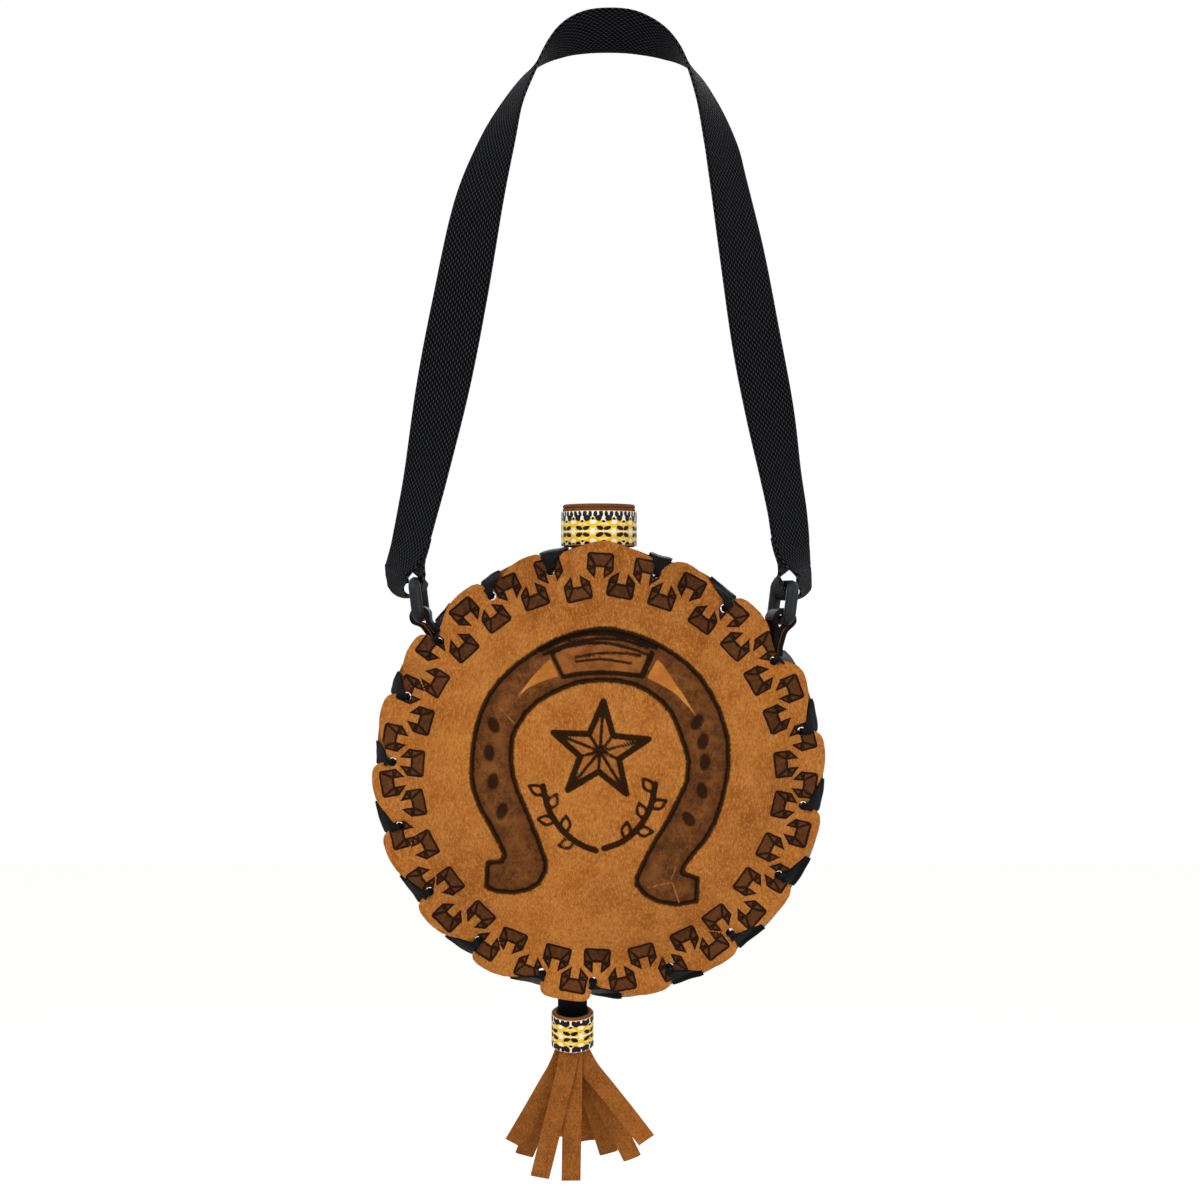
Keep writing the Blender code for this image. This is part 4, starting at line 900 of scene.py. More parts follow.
def printed_look(name, repeat, high, middle, seed):
    """A spotted satin ribbon, mirrored about its middle line. All sizes in millimetres: repeat runs round."""
    look = Look(name, 0.42, 0.15)
    round_it, up_it, _ = look.numbers("weave")
    t = up_it * IN_MM
    bent = look.noise(330, 2, 0.5) - 0.5
    other = look.noise(250, 2, 0.5, look.node("CombineXYZ", round_it + 0.31 * seed, up_it, 0.2).outputs[0]) - 0.5
    s, m = round_it * IN_MM + bent * 1.6, (t - middle).size() + other * 0.8

    def away(spacing):
        """Distance round from the nearest of the places that repeat."""
        return ((s * (1 / spacing)).op("FRACT") - 0.5).size() * spacing

    def oval(across, up, wide, tall, rim=1.18):
        across, up = across * (1 / wide), up * (1 / tall)
        return (across * across + up * up).op("SQRT").step(rim, 0.88)

    def blob(level, x, wide, tall, lean=0.0):
        return oval(a - x + (m - level) * lean, m - level, wide, tall)

    a, edge, far = away(repeat), high - middle, repeat / 2
    white, yellow, orange, black = linear(248, 246, 236), linear(250, 200, 30), linear(232, 150, 22), linear(14, 11, 14)
    gold = look.mix(look.noise(500, 2, 0.5).step(0.4, 0.7), yellow, orange)
    arc = (a * (2 * math.pi / repeat)).op("COSINE")
    marks = blob(1.7, 1.95, 1.75, 1.15, -0.55)
    for level, x, wide, tall in ((6.5, 2.5, 1.55, 1.5), (6.3, far, 0.8, 0.7), (4.9, 0.0, 0.9, 0.6)):
        marks = marks.most(blob(level, x, wide, tall))
    # A row of drops hangs from each edge
    marks = marks.most(oval(away(repeat / 4), m - edge + 1.6, 0.98, 1.6, 1.15))
    ground = look.over(
        look.mix((m + arc * 0.8 - 2.9).size().step(3.4, 2.8), white, look.mix(0.3, yellow, gold)),
        (blob(4.6, far, 1.5, 0.95).most(blob(0.0, far, 1.0, 1.5)), white),
        # A pale arch over each pair of leaves
        ((m + a * a * 0.13 - 3.9).size().step(0.42, 0.18), linear(250, 238, 196)),
        (marks, black), (blob(6.6, 2.5, 0.5, 0.5) * 0.2, linear(50, 60, 100)),
        ((t - middle).size().step(0.34, 0.14), white),
        ((t - high * 0.5).size().step(high * 0.5 - 0.45, high * 0.5 - 0.15), linear(232, 176, 120)))
    look.colour(ground)
    look.bump((round_it * 9000.0).op("SINE") * 0.3 + look.noise(2400, 1, 0.5), 0.00015, 0.4)
    return look.made


SATIN = satin_look()
WEBBING = webbing_look()
RING_PLASTIC = plastic_look("ring_plastic", linear(21, 23, 27), 0.44)
CAP_PLASTIC = plastic_look("cap_plastic", linear(26, 26, 27), 0.45)
FLASK_PLASTIC = plastic_look("flask_plastic", linear(228, 228, 222), 0.4, 0.1)
SEAL_RUBBER = plastic_look("seal_rubber", linear(196, 196, 190), 0.7, 0.15)
CAP_PRINT = printed_look("cap_print", 10.76, 17.0, 6.8, 1)
COLLAR_PRINT = printed_look("collar_print", 10.9, 17.2, 8.5, 2)

# The covers; then the solids that keep their own form get their looks
build_cover("front_cover", -1, [FRONT, CUT_EDGE], 11)
build_cover("back_cover", 1, [REAR, CUT_EDGE], 23)
for name, slot, look in (("cap_shell", "cap_plastic", CAP_PLASTIC), ("cap_seal", "seal_rubber", SEAL_RUBBER),
                         ("flask_body", "flask_plastic", FLASK_PLASTIC)):
    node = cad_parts[name]
    node.data.materials.clear()
    node.data.materials.append(look)


# ---- the lacing
RIBBON_THICKNESS = 0.0008
RIBBON_LIFT = RIBBON_THICKNESS / 2 + 0.0002
# In a hole the ribbon is bunched: half its width, and that in degrees once it is turned to lie along the rim
HOLE_HALF_WIDTH = 0.0015
HOLE_HALF_TURN = 1.05
# How far under the outer face it turns into a hole, and half the length of its turn at the bottom
HOLE_TURN_DEPTH = 0.0006
LACE_TURN = 0.0012
# In front it lies a hair nearer to the disc's middle than the hole. Its end behind the last hole is this wide each
# way, in degrees
HOLE_SHIFT = 0.0001
END_HALF_TURN = 0.7
# Its middle swells, in full where its half width is this much or more, and its face ripples
RIBBON_CROWN, SPREAD_HALF_WIDTH = 0.00035, 0.004
RIBBON_RIPPLE = 0.0001
# The ribbon fans out of each front hole and over the rim: radius in millimetres, degrees from the hole to the edge
# away from the top and to the edge toward it, and share of the way from the front face to the back cover
FAN = ((104.7, -0.8, 0.95, 0.0), (106.0, -1.0, 2.0, 0.02), (107.4, -1.1, 3.4, 0.24), (108.9, -1.1, 4.8, 0.48),
       (110.2, -1.0, 6.2, 0.74), (111.2, -0.7, 7.4, 0.93))
SHORT_NEARS = (0.95, 1.6, 2.6, 3.5, 4.3, 4.9)
SHORT_FAN = [(radius, away, near, share) for (radius, away, _, share), near in zip(FAN, SHORT_NEARS)]
LEFT_TAB_FAN = ((104.7, -0.6, 1.0, 0.0), (106.0, 0.2, 2.6, 0.02), (107.4, 1.0, 4.4, 0.26), (108.8, 1.8, 6.2, 0.5),
                (110.2, 2.5, 7.8, 0.76), (111.3, 3.0, 8.8, 0.95))
RIGHT_TAB_FAN = ((104.7, -0.9, 0.6, 0.0), (106.0, -1.8, 0.6, 0.02), (107.4, -3.0, 0.4, 0.26),
                 (108.8, -4.0, 0.2, 0.5), (110.2, -4.7, 0.1, 0.76), (111.3, -5.0, 0.2, 0.95))
LEFT_CAP_FAN = ((104.7, -0.8, 0.8, 0.0), (106.2, -0.9, 1.4, 0.0), (107.8, -1.1, 2.4, 0.005),
                (109.6, -1.4, 3.5, 0.01), (111.2, -1.6, 4.6, 0.03), (112.6, -1.6, 5.4, 0.12), (113.0, -1.6, 5.6, 0.5))
RIGHT_CAP_FAN = ((104.7, -0.8, 0.8, 0.0), (106.2, -1.2, 1.0, 0.0), (107.8, -1.7, 1.6, 0.005),
                 (109.4, -2.3, 2.1, 0.01), (111.0, -2.7, 2.6, 0.03), (112.2, -2.8, 3.0, 0.12), (112.6, -2.8, 3.0, 0.5))
FANS = {LEFT_HOLES[0]: LEFT_CAP_FAN, LEFT_HOLES[1]: SHORT_FAN, LEFT_HOLES[2]: LEFT_TAB_FAN, LEFT_HOLES[3]: SHORT_FAN,
        LEFT_HOLES[4]: SHORT_FAN, RIGHT_HOLES[6]: RIGHT_TAB_FAN, RIGHT_HOLES[-1]: RIGHT_CAP_FAN}
# Over the back cover's edge: how far outside it, and how far behind its inner face as a share of the leather
EDGE_ROWS = ((0.0003, -0.32), (0.0008, 0.5), (0.0003, 1.22))
# On the back, to the next hole: radius and share of the way for the inner edge, then for the outer one
BACK_ROWS = ((108.6, 0.12, 110.8, 0.50), (106.8, 0.32, 109.8, 0.60), (104.8, 0.58, 107.8, 0.74),
             (102.8, 0.80, 105.6, 0.88), (101.8, 0.94, 104.5, 0.97))
# On the back, where the ribbon ends
END_ROWS = ((108.8, -1.8, 3.2), (106.0, -1.2, 1.6), (103.8, -0.7, 0.8))


def rim_row(angles, depth, *radii):
    """The two edges of the ribbon at one radius or two. depth is a number, or gives one at a radius and an angle."""
    radii = radii if len(radii) == 2 else radii * 2
    return tuple(on_clock(radius, angle, depth(radius, angle) if callable(depth) else depth)
                 for radius, angle in zip(radii, angles))


def stitch(rows, hole, next_hole, toward_top):
    """Out of a front hole, fanning across the rim to the back cover's edge, and on to the next hole."""
    def sides(away, near):
        return hole + toward_top * away, hole + toward_top * near

    def behind(r, angle):
        return outer_face(r, angle, 1) + RIBBON_LIFT

    for radius, away, near, share in FANS.get(hole, FAN):
        def depth(r, angle):
            front, back = -outer_face(r, angle, -1) - RIBBON_LIFT, outer_face(r, angle, 1) - LEATHER - 2 * RIBBON_LIFT
            return front + share * (back - front)
        rows.append(rim_row(sides(away, near), depth, radius * MM))
    landed = sides(away, near)
    for out, share in EDGE_ROWS:
        rows.append(rim_row(landed, lambda r, angle: outer_face(r, angle, 1) + (share - 1) * LEATHER,
                            *(float(scallop(angle, 1)[0]) + out for angle in landed)))
    if next_hole is None:
        for radius, away, near in END_ROWS:
            rows.append(rim_row(sides(away, near), behind, radius * MM))
        ends = (hole - END_HALF_TURN, hole + END_HALF_TURN)
        rows.append(rim_row(ends, lambda r, angle: behind(r, angle) - LEATHER, LACE_RADIUS))
        return
    for inner, inner_share, outer, outer_share in BACK_ROWS:
        angles = [hole + share * (next_hole - hole) for share in (inner_share, outer_share)]
        rows.append(rim_row(angles, behind, inner * MM, outer * MM))
    through_holes(rows, next_hole, toward_top)


def through_holes(rows, hole, toward_top, starts_inside=False):
    """From back to front through a pair of holes, or from the middle to the front."""
    height = outer_face(LACE_RADIUS, hole, 1)
    if not starts_inside:
        for depth in (height - HOLE_TURN_DEPTH, height - LEATHER):
            rows.append(rim_row((hole, hole), depth, LACE_RADIUS - HOLE_HALF_WIDTH, LACE_RADIUS + HOLE_HALF_WIDTH))
    turns = (hole - toward_top * HOLE_HALF_TURN, hole + toward_top * HOLE_HALF_TURN)
    for depth in (LEATHER - height, HOLE_TURN_DEPTH - height):
        rows.append(rim_row(turns, depth, LACE_RADIUS - HOLE_SHIFT))


LOW_HOLES = [on_clock(LACE_RADIUS, hole) for hole in (LEFT_HOLES[-1], RIGHT_HOLES[0])]


def build_lacing():
    """One ribbon from the left of the cap to its right, by way of the bottom, laid from the bottom both ways."""
    middle = (LOW_HOLES[0] + LOW_HOLES[1]) / 2
    flat = BACK * HOLE_HALF_WIDTH
    runs = []
    for corner, holes, toward_top in zip(LOW_HOLES, (tuple(reversed(LEFT_HOLES)), RIGHT_HOLES), (1, -1)):
        inward = Vector((math.copysign(LACE_TURN, middle.x - corner.x), 0, 0))
        rows = [(corner + inward * far - flat, corner + inward * far + flat) for far in (2.2, 1.0)]
        through_holes(rows, holes[0], toward_top, starts_inside=True)
        for hole, next_hole in zip(holes, [*holes[1:], None]):
            stitch(rows, hole, next_hole, toward_top)
        runs.append(rows)
    rows = [*reversed(runs[0]), (middle - flat, middle + flat), *runs[1]]
    for k in range(1, len(rows)):
        if (rows[k][1] - rows[k][0]).dot(rows[k - 1][1] - rows[k - 1][0]) < 0:
            rows[k] = rows[k][::-1]
    dense = evenly_through([(*(low + high) / 2, *(high - low)) for low, high in rows], 4)
    halves = np.linalg.norm(dense[:, 3:6], axis=1) / 2

    def crown(c, i):
        swell = RIBBON_CROWN * (1 - c * c) * min(halves[i] / SPREAD_HALF_WIDTH, 1.0)
        return swell + RIBBON_RIPPLE * math.cos(5 * c + 0.05 * i)

    soft(band("rim_lacing_ribbon", dense[:, :3], dense[:, 3:], halves, RIBBON_THICKNESS, 9, SATIN, "canteen", crown, 60,
              square=False), "black_satin", "rim_lacing")


build_lacing()


# ---- rings' places and the strap
STRAP_WIDTH = 0.030
STRAP_THICKNESS = 0.0016
STRAP_HALF_SPAN = 0.100
STRAP_DROP = 0.2765
STRAP_LOOP_RADIUS = 0.0065
STRAP_LOOP_SAG = 8.0
BAR_RADIUS = 0.0023
BAR_PITCH = 0.0174
RING_LEAN = 7.0
CONTACT_GAP = 0.0003
# The strap's run: shares of the half span and of the drop, and degrees that it is twisted out of the front
STRAP_ROUTE = (
    (-1.022, 0.9765, -30), (-0.978, 0.9458, -38), (-0.947, 0.9168, -43), (-0.910, 0.8608, -46), (-0.870, 0.7957, -51),
    (-0.786, 0.6401, -66), (-0.702, 0.4828, -68), (-0.610, 0.3110, -58), (-0.520, 0.2007, -42), (-0.440, 0.1266, -25),
    (-0.325, 0.0597, -11), (-0.200, 0.0188, 12), (-0.080, 0, 26), (0.050, -0.0045, 30), (0.180, 0.0004, 27),
    (0.325, 0.0217, 12), (0.4475, 0.0597, -11), (0.540, 0.1266, -25), (0.605, 0.2007, -37), (0.638, 0.2586, -42),
    (0.710, 0.3978, -52), (0.782, 0.5552, -60), (0.850, 0.6872, -58), (0.902, 0.7957, -49), (0.935, 0.8608, -45),
    (0.956, 0.9168, -42), (0.982, 0.9458, -34), (1.020, 0.9765, -20))
# The same for each end's run behind its ring, from the loop to where it is sewn
TAILS = {-1: ((-0.884, 0.9838, 9), (-0.905, 0.9690, 18), (-0.924, 0.9476, 29), (-0.9290, 0.9175, 39)),
         1: ((0.888, 0.9855, 2), (0.911, 0.9690, 14), (0.929, 0.9476, 28), (0.9375, 0.9175, 39))}
# Degrees that each ring turns out of the front, and its strap end's loop beyond that; then the ring's middle (x, z)
TOES = {-1: 0.0, 1: 8.0}
LOOP_TURNS = {-1: 27.0, 1: -28.0}
RING_CENTRES = {-1: (-0.09035, -0.28315), 1: (0.0913, -0.2848)}
UPRIGHT_HALF_THICKNESS = 0.0030
UPRIGHT_HALF_WIDTH = 0.0026
RING_SLOT_CLEARANCE = 0.0006
RING_CORNER_RADIUS = 0.0035
CORNER_STEPS = 8
UPRIGHT_STEPS = 7
RING_POINTS = 20
# Flash stands at one of the points round the section, and the uprights' section is a little square
FLASH_POINT, FLASH_HEIGHT = 5, 0.00018
SQUARENESS = 0.07
LOOP_STEPS = 12
# How fast the loop turns back to its ring's own direction, and the ripple along the strap
TURN_BACK = 1.5
STRAP_RIPPLE, RIPPLE_LENGTH = 0.00012, 0.011


def ring_up(side):
    lean = math.radians(RING_LEAN)
    return Vector((side * math.sin(lean), 0, math.cos(lean)))


def ring_bars(side):
    """Places of a ring's upper and lower bars at the middle plane."""
    middle = Vector((RING_CENTRES[side][0], 0, RING_CENTRES[side][1]))
    return middle + ring_up(side) * BAR_PITCH / 2, middle - ring_up(side) * BAR_PITCH / 2


def build_ring(name, side, body, node):
    """A moulded ring: round bars, and broad uprights with a soft ridge of flash along the outside."""
    up = ring_up(side)
    turn = math.radians(TOES[side])
    bar = Vector((-side * math.sin(turn), math.cos(turn), 0))
    across = up.cross(bar).normalized()
    middle = sum(ring_bars(side), Vector()) / 2
    reach = STRAP_WIDTH / 2 + RING_SLOT_CLEARANCE + UPRIGHT_HALF_WIDTH - RING_CORNER_RADIUS
    height = BAR_PITCH / 2 - RING_CORNER_RADIUS
    corners = [middle + bar * a * reach + up * b * height for a, b in ((1, 1), (-1, 1), (-1, -1), (1, -1))]
    spots = []
    for quarter, corner in enumerate(corners):
        for step in range(CORNER_STEPS + 1):
            angle = math.radians(90 * quarter + 90 * step / CORNER_STEPS)
            out = bar * math.cos(angle) + up * math.sin(angle)
            spots.append((corner + out * RING_CORNER_RADIUS, out, abs(math.cos(angle))))
        end = corners[(quarter + 1) % 4]
        place, out, upright = spots[-1]
        for step in range(1, UPRIGHT_STEPS):
            spots.append((place.lerp(end + out * RING_CORNER_RADIUS, step / UPRIGHT_STEPS), out, upright))
    points = []
    for place, out, upright in spots:
        thick = BAR_RADIUS + upright * (UPRIGHT_HALF_THICKNESS - BAR_RADIUS)
        wide = BAR_RADIUS + upright * (UPRIGHT_HALF_WIDTH - BAR_RADIUS)
        for k in range(RING_POINTS):
            angle = 2 * math.pi * k / RING_POINTS
            square = 1 + SQUARENESS * upright * (1 - math.cos(4 * angle)) / 2
            spot = across * thick * math.cos(angle) * square + out * wide * math.sin(angle) * square
            points.append(place + spot + out * (FLASH_HEIGHT if k == FLASH_POINT else 0))
    made = piece(name, points, tube_faces(len(spots), RING_POINTS, True), [RING_PLASTIC], body, 60)
    soft(face_out(made), "ring_plastic", node)


build_ring("left_ring_moulding", -1, "left_ring", "ring_left")
build_ring("right_ring_moulding", 1, "right_ring", "ring_right")


def toed(degrees):
    """Level, to the front, turned by some degrees to the right."""
    turn = math.radians(degrees)
    return Vector((math.sin(turn), -math.cos(turn), 0))


def strap_end(side):
    """Half round the ring's bar and back up behind, as (place, direction across)."""
    slack = STRAP_LOOP_RADIUS - STRAP_THICKNESS / 2 - BAR_RADIUS - CONTACT_GAP
    sag = math.radians(STRAP_LOOP_SAG)
    centre = ring_bars(side)[0] + slack * Vector((side * math.cos(sag), 0, -math.sin(sag)))
    found = []
    for step in range(LOOP_STEPS + 1):
        turn = -math.pi * step / LOOP_STEPS
        spot = centre + STRAP_LOOP_RADIUS * Vector((side * math.cos(turn), 0, math.sin(turn)))
        open_turn = LOOP_TURNS[side] * max(0.0, 1 - TURN_BACK * step / LOOP_STEPS)
        found.append((spot, toed(side * TOES[side] + open_turn)))
    for x, down, twist in TAILS[side]:
        found.append((Vector((STRAP_HALF_SPAN * x, 0, -STRAP_DROP * down)), toed(-side * twist)))
    return found


def build_strap():
    main = curve_through(STRAP_ROUTE, 6)
    places = [Vector((STRAP_HALF_SPAN * x, 0, -STRAP_DROP * down)) for x, down, _ in main]
    rows = []
    for tangent, place, (_, _, twist) in zip(directions(places), places, main):
        outward = Vector((-tangent.z, 0, tangent.x))
        turn = math.radians(twist)
        rows.append((place, -BACK * math.cos(turn) + outward * math.sin(turn)))
    ends = {side: strap_end(side) for side in (-1, 1)}
    rows = [*reversed(ends[-1]), *rows, *ends[1]]
    dense = curve_through([(*place, *wide) for place, wide in rows], 2)
    run = np.concatenate([[0], np.cumsum(np.linalg.norm(np.diff(dense[:, :3], axis=0), axis=1))])

    def crown(c, i):
        return STRAP_RIPPLE * math.sin(run[i] / RIPPLE_LENGTH) * c

    halves = np.full(len(dense), STRAP_WIDTH / 2)
    soft(band("strap_cloth", dense[:, :3], dense[:, 3:], halves, STRAP_THICKNESS, 26, WEBBING, "strap", crown, 50),
         "black_webbing", "strap_webbing")


build_strap()


# ---- the tabs
RUNNING_GAP = 0.00035
TAB_THICKNESS = 0.0018
TAB_RIBBON_THICKNESS = 0.0005
TAB_BAR_HALF_WIDTH = 0.0090
TAB_RIM_HALF_WIDTH = 0.0065
TAB_LACE_CLEARANCE = 0.00195
OPEN_PIVOT_CLEARANCE = 0.0007
# The legs are pinched together this far from their middle plane; the ribbon's edges fold over the leather's
TAB_PINCH = 0.0003
TAB_OVERLAP = 0.0008
TAB_FOLDS = {-1: 0.0016, 1: 0.0019}
EDGE_TUCK = 0.25
# Shares of the way down at which a tab has closed under the bar, and begins to open for the lacing
TAB_CLOSED, TAB_OPENS_AGAIN = 0.32, 0.6
TAB_COLUMNS = np.sin(np.linspace(-math.pi / 2, math.pi / 2, 9))
ARC_STEPS = 14
LEG_STEPS = 16


def belt_run(first, first_radius, second, second_radius, lift):
    """A closed run round two places in the XZ plane, its legs pinched together, as (place, share toward the first)."""
    way_down = second - first
    length = way_down.length
    way_down = way_down / length
    side = Vector((-way_down.z, 0, way_down.x))

    def half_gap(share):
        opened = (first_radius - TAB_PINCH) * (1 - float(ease(share, 0.0, TAB_CLOSED)))
        return TAB_PINCH + lift + opened + (second_radius - TAB_PINCH) * float(ease(share, TAB_OPENS_AGAIN, 1.0))

    found = []
    for centre, radius, way, share in ((first, first_radius + lift, -1, 1.0), (second, second_radius + lift, 1, 0.0)):
        for step in range(ARC_STEPS + 1):
            turn = math.pi * step / ARC_STEPS
            found.append((centre + radius * way * (way_down * math.sin(turn) + side * math.cos(turn)), share))
        for step in range(1, LEG_STEPS):
            down = step / LEG_STEPS if way < 0 else 1 - step / LEG_STEPS
            found.append((first + way_down * length * down - side * way * half_gap(down), 1 - down))
    return found


def build_belt(name, bar, lace, radii, base, thickness, toe, look, fold=0.0):
    """One layer of a tab: a flat belt round the ring's bar and the lacing. fold turns its edges over the leather's."""
    slope = math.tan(math.radians(toe))
    inside, outside = (belt_run(bar, radii[0], lace, radii[1], base + lift) for lift in (0.0, thickness))
    points, weave = [], []
    run = 0.0
    before = outside[0][0]
    for (inner, share), (outer, _) in zip(inside, outside):
        run += (outer - before).length
        before = outer
        half = TAB_RIM_HALF_WIDTH + share * (TAB_BAR_HALF_WIDTH - TAB_RIM_HALF_WIDTH) + (TAB_OVERLAP if fold else 0.0)
        out = (outer - inner).normalized()
        for place, shares, level in ((outer, TAB_COLUMNS, 1), (inner, TAB_COLUMNS[::-1], 0)):
            for c in shares:
                depth = half * c
                lift = -(fold + EDGE_TUCK * thickness * (2 * level - 1)) if abs(c) > OUTERMOST else 0
                points.append(place + out * lift + Vector((-slope * share * depth, depth, 0)))
                weave.append((run, depth, level))
    made = piece(name, points, tube_faces(len(inside), 2 * len(TAB_COLUMNS), True), [look], "canteen", 50)
    store(made, "weave", weave)
    return face_out(made)


for word, side, hole, extra in (("left", -1, LEFT_HOLES[2], 0.0), ("right", 1, RIGHT_HOLES[6], OPEN_PIVOT_CLEARANCE)):
    bar, lace = ring_bars(side)[1], on_clock(LACE_RADIUS, hole)
    radii = [BAR_RADIUS + RUNNING_GAP + extra, TAB_LACE_CLEARANCE]
    soft(build_belt(f"tab_{word}_suede", bar, lace, radii, 0.0, TAB_THICKNESS, side * TOES[side], STRAP_LEATHER),
         "strap_leather", f"tab_{word}")
    base = TAB_THICKNESS + CONTACT_GAP
    soft(build_belt(f"tab_{word}_wrap", bar, lace, radii, base, TAB_RIBBON_THICKNESS, side * TOES[side], SATIN,
                    TAB_FOLDS[side]),
         "black_satin", f"tab_{word}_ribbon")


# ---- turned pieces
def turned(where, name, profile, sides, look, slot, node):
    """A ring turned from a closed profile, at a body's (name, centre, tilt). Its weave holds metres round and up."""
    body, centre, tilt = where
    points, weave = [], []
    reach = max(radius for radius, _ in profile)
    base = min(height for _, height in profile)
    for k in range(sides):
        turn = 2 * math.pi * k / sides
        for radius, height in profile:
            points.append(centre + tilt @ Vector((radius * math.cos(turn), radius * math.sin(turn), height)))
            weave.append((turn * reach, height - base, 0))
    made = piece(name, points, tube_faces(sides, len(profile), True), [look], body, 50)
    corners = np.empty(len(made.data.loops), np.int32)
    made.data.loops.foreach_get("vertex_index", corners)
    found = np.array(weave, np.float32)[corners]
    # In the faces that close the round, its end follows instead of its start
    for face in made.data.polygons:
        span = found[face.loop_start : face.loop_start + face.loop_total, 0]
        if span.max() - span.min() > math.pi * reach:
            span[span < math.pi * reach] += 2 * math.pi * reach
    store(made, "weave", found, "CORNER")
    soft(made, slot, node)


def rounded_ring(inner, outer, low, high, steps, soften):
    """Closed profile of a sleeve with softened corners, with extra rows up its outer side."""
    profile = [(outer - soften, high), (outer, high - soften)]
    profile += [(outer, high - soften + (low - high + 2 * soften) * k / steps) for k in range(1, steps)]
    profile += [(outer, low + soften), (outer - soften, low), (inner + soften, low), (inner, low + soften)]
    return [*profile, (inner, high - soften), (inner + soften, high)]


CAP_SHELL_RADIUS = 0.0160
WRAP_THICKNESS, WRAP_SOFTENING = 0.0017, 0.0006
BAND_THICKNESS, BAND_SOFTENING = 0.00045, 0.00012
CAP_SIDES = 32
WRAP_INNER = (CAP_SHELL_RADIUS + CONTACT_GAP) / math.cos(math.pi / CAP_SIDES)
WRAP_OUTER = WRAP_INNER + WRAP_THICKNESS
BAND_INNER = (WRAP_OUTER + CONTACT_GAP) / math.cos(math.pi / CAP_SIDES)
BAND_OUTER = BAND_INNER + BAND_THICKNESS
AT_CAP = ("cap", Vector((CENTRE_X, 0, -CENTRE_DROP)), Matrix.Identity(3))
CAP_TOP = CAP_BOTTOM + CAP_HEIGHT
CAP_RIM = 0.0035
CAP_BAND_INSET = 0.0005
# A groove runs round the wrap, just under its top
GROOVE = ((0.0014, 0), (0.0018, 0.0005), (0.0022, 0))
CAP_SLEEVE = rounded_ring(WRAP_INNER, WRAP_OUTER, CAP_BOTTOM, CAP_TOP, 8, WRAP_SOFTENING)
CAP_SLEEVE[2:2] = [(WRAP_OUTER - deep, CAP_TOP - down) for down, deep in GROOVE]
CAP_BAND = rounded_ring(BAND_INNER, BAND_OUTER, CAP_BOTTOM + CAP_BAND_INSET, CAP_TOP - CAP_RIM, 8, BAND_SOFTENING)
DISC_TOP = CAP_TOP - 0.0006
CAP_DISC = [(radius, DISC_TOP + rise) for radius, rise in (
    (0.0004, 0.0002), (0.010, 0.0001), (0.0152, 0.0), (0.016, -0.0005), (0.016, -0.0016), (0.0004, -0.0016))]
turned(AT_CAP, "cap_wrap", CAP_SLEEVE, 96, CAP_LEATHER, "strap_leather", "cap_leather_wrap")
turned(AT_CAP, "cap_print_band", CAP_BAND, 96, CAP_PRINT, "printed_ribbon", "cap_ribbon_band")
turned(AT_CAP, "cap_disc", CAP_DISC, 64, CAP_LEATHER, "strap_leather", "cap_top_leather")


# ---- the tassel, made hanging straight down and then tilted
TASSEL_HANG = Vector((-0.0138, 0, (LOW_HOLES[0].z + LOW_HOLES[1].z) / 2))
TASSEL_TILT = Matrix.Rotation(math.radians(12.0), 3, "X")
LOOP_HALF_WIDTH = 0.0073
LOOP_THICKNESS = 0.0008
LOOP_RADIUS = 0.0022
LOOP_LENGTH = 0.0270
LEG_SPREAD = 0.0011
# Its legs spread to this far from the middle at this depth, on their way up to the lacing
LOOP_NECK_SPREAD, LOOP_NECK_DROP = 0.0016, 0.010
LOOP_RIPPLE = 0.00018
COLLAR_DROP = 0.0195
COLLAR_RADIUS = 0.0098
COLLAR_THICKNESS = 0.0018
COLLAR_HEIGHT = 0.0184
COLLAR_TOP = -COLLAR_DROP
COLLAR_LOW = COLLAR_TOP - COLLAR_HEIGHT
COLLAR_INNER = COLLAR_RADIUS - COLLAR_THICKNESS
COLLAR_SIDES = 24
COLLAR_SOFTENING = 0.0005
COLLAR_PRINT_THICKNESS, COLLAR_RIM = 0.0004, 0.0009
CORE_LENGTH = 0.0085
# The core is turned round a pinhole
PINHOLE_RADIUS, CORE_SOFTENING = 0.0003, 0.0008
CORE_TOP = -LOOP_LENGTH - CONTACT_GAP
CORE_LOW = CORE_TOP - CORE_LENGTH
CORE_RADIUS = COLLAR_INNER * math.cos(math.pi / COLLAR_SIDES) - CONTACT_GAP
STRIP_WIDTH = 0.0096
STRIP_THICKNESS = 0.0012
STRIP_PITCH = 0.00152
STRIP_LENGTH = 0.0690
STRIP_HIDDEN = 0.0020
# Each strip, from front to back: degrees to the side and to the back, share of the length, millimetres aside
STRIPS = ((-14.0, -12.0, 0.975, -1.5), (-1.0, -10.0, 1.0, 0.3), (38.0, -6.0, 0.88, 3.1), (-29.0, -3.0, 0.87, -3.3),
          (25.0, 1.0, 1.02, 2.9), (-20.5, 5.0, 1.01, -2.8), (15.0, 9.0, 1.02, 1.6), (6.0, 12.5, 0.94, 0.6),
          (-7.5, 16.0, 0.94, -0.7))
# Steps down a strip, and in how many of them it bends to its own side
STRIP_STEPS = 6
BEND_STEPS = 1.4
# Beyond a share of its length a strip sways and twists, in waves of so many radians for its whole length
SWAY_START = 0.25
SWAY, SWAY_WAVE = 0.0009, 7
SWAY_TWIST, TWIST_WAVE = 7, 2.5
CURL = 0.0007
# A strip is narrow in the core, up to this share
NARROW_SHARE = 0.12


def tilted(spot):
    return TASSEL_HANG + TASSEL_TILT @ Vector(spot)


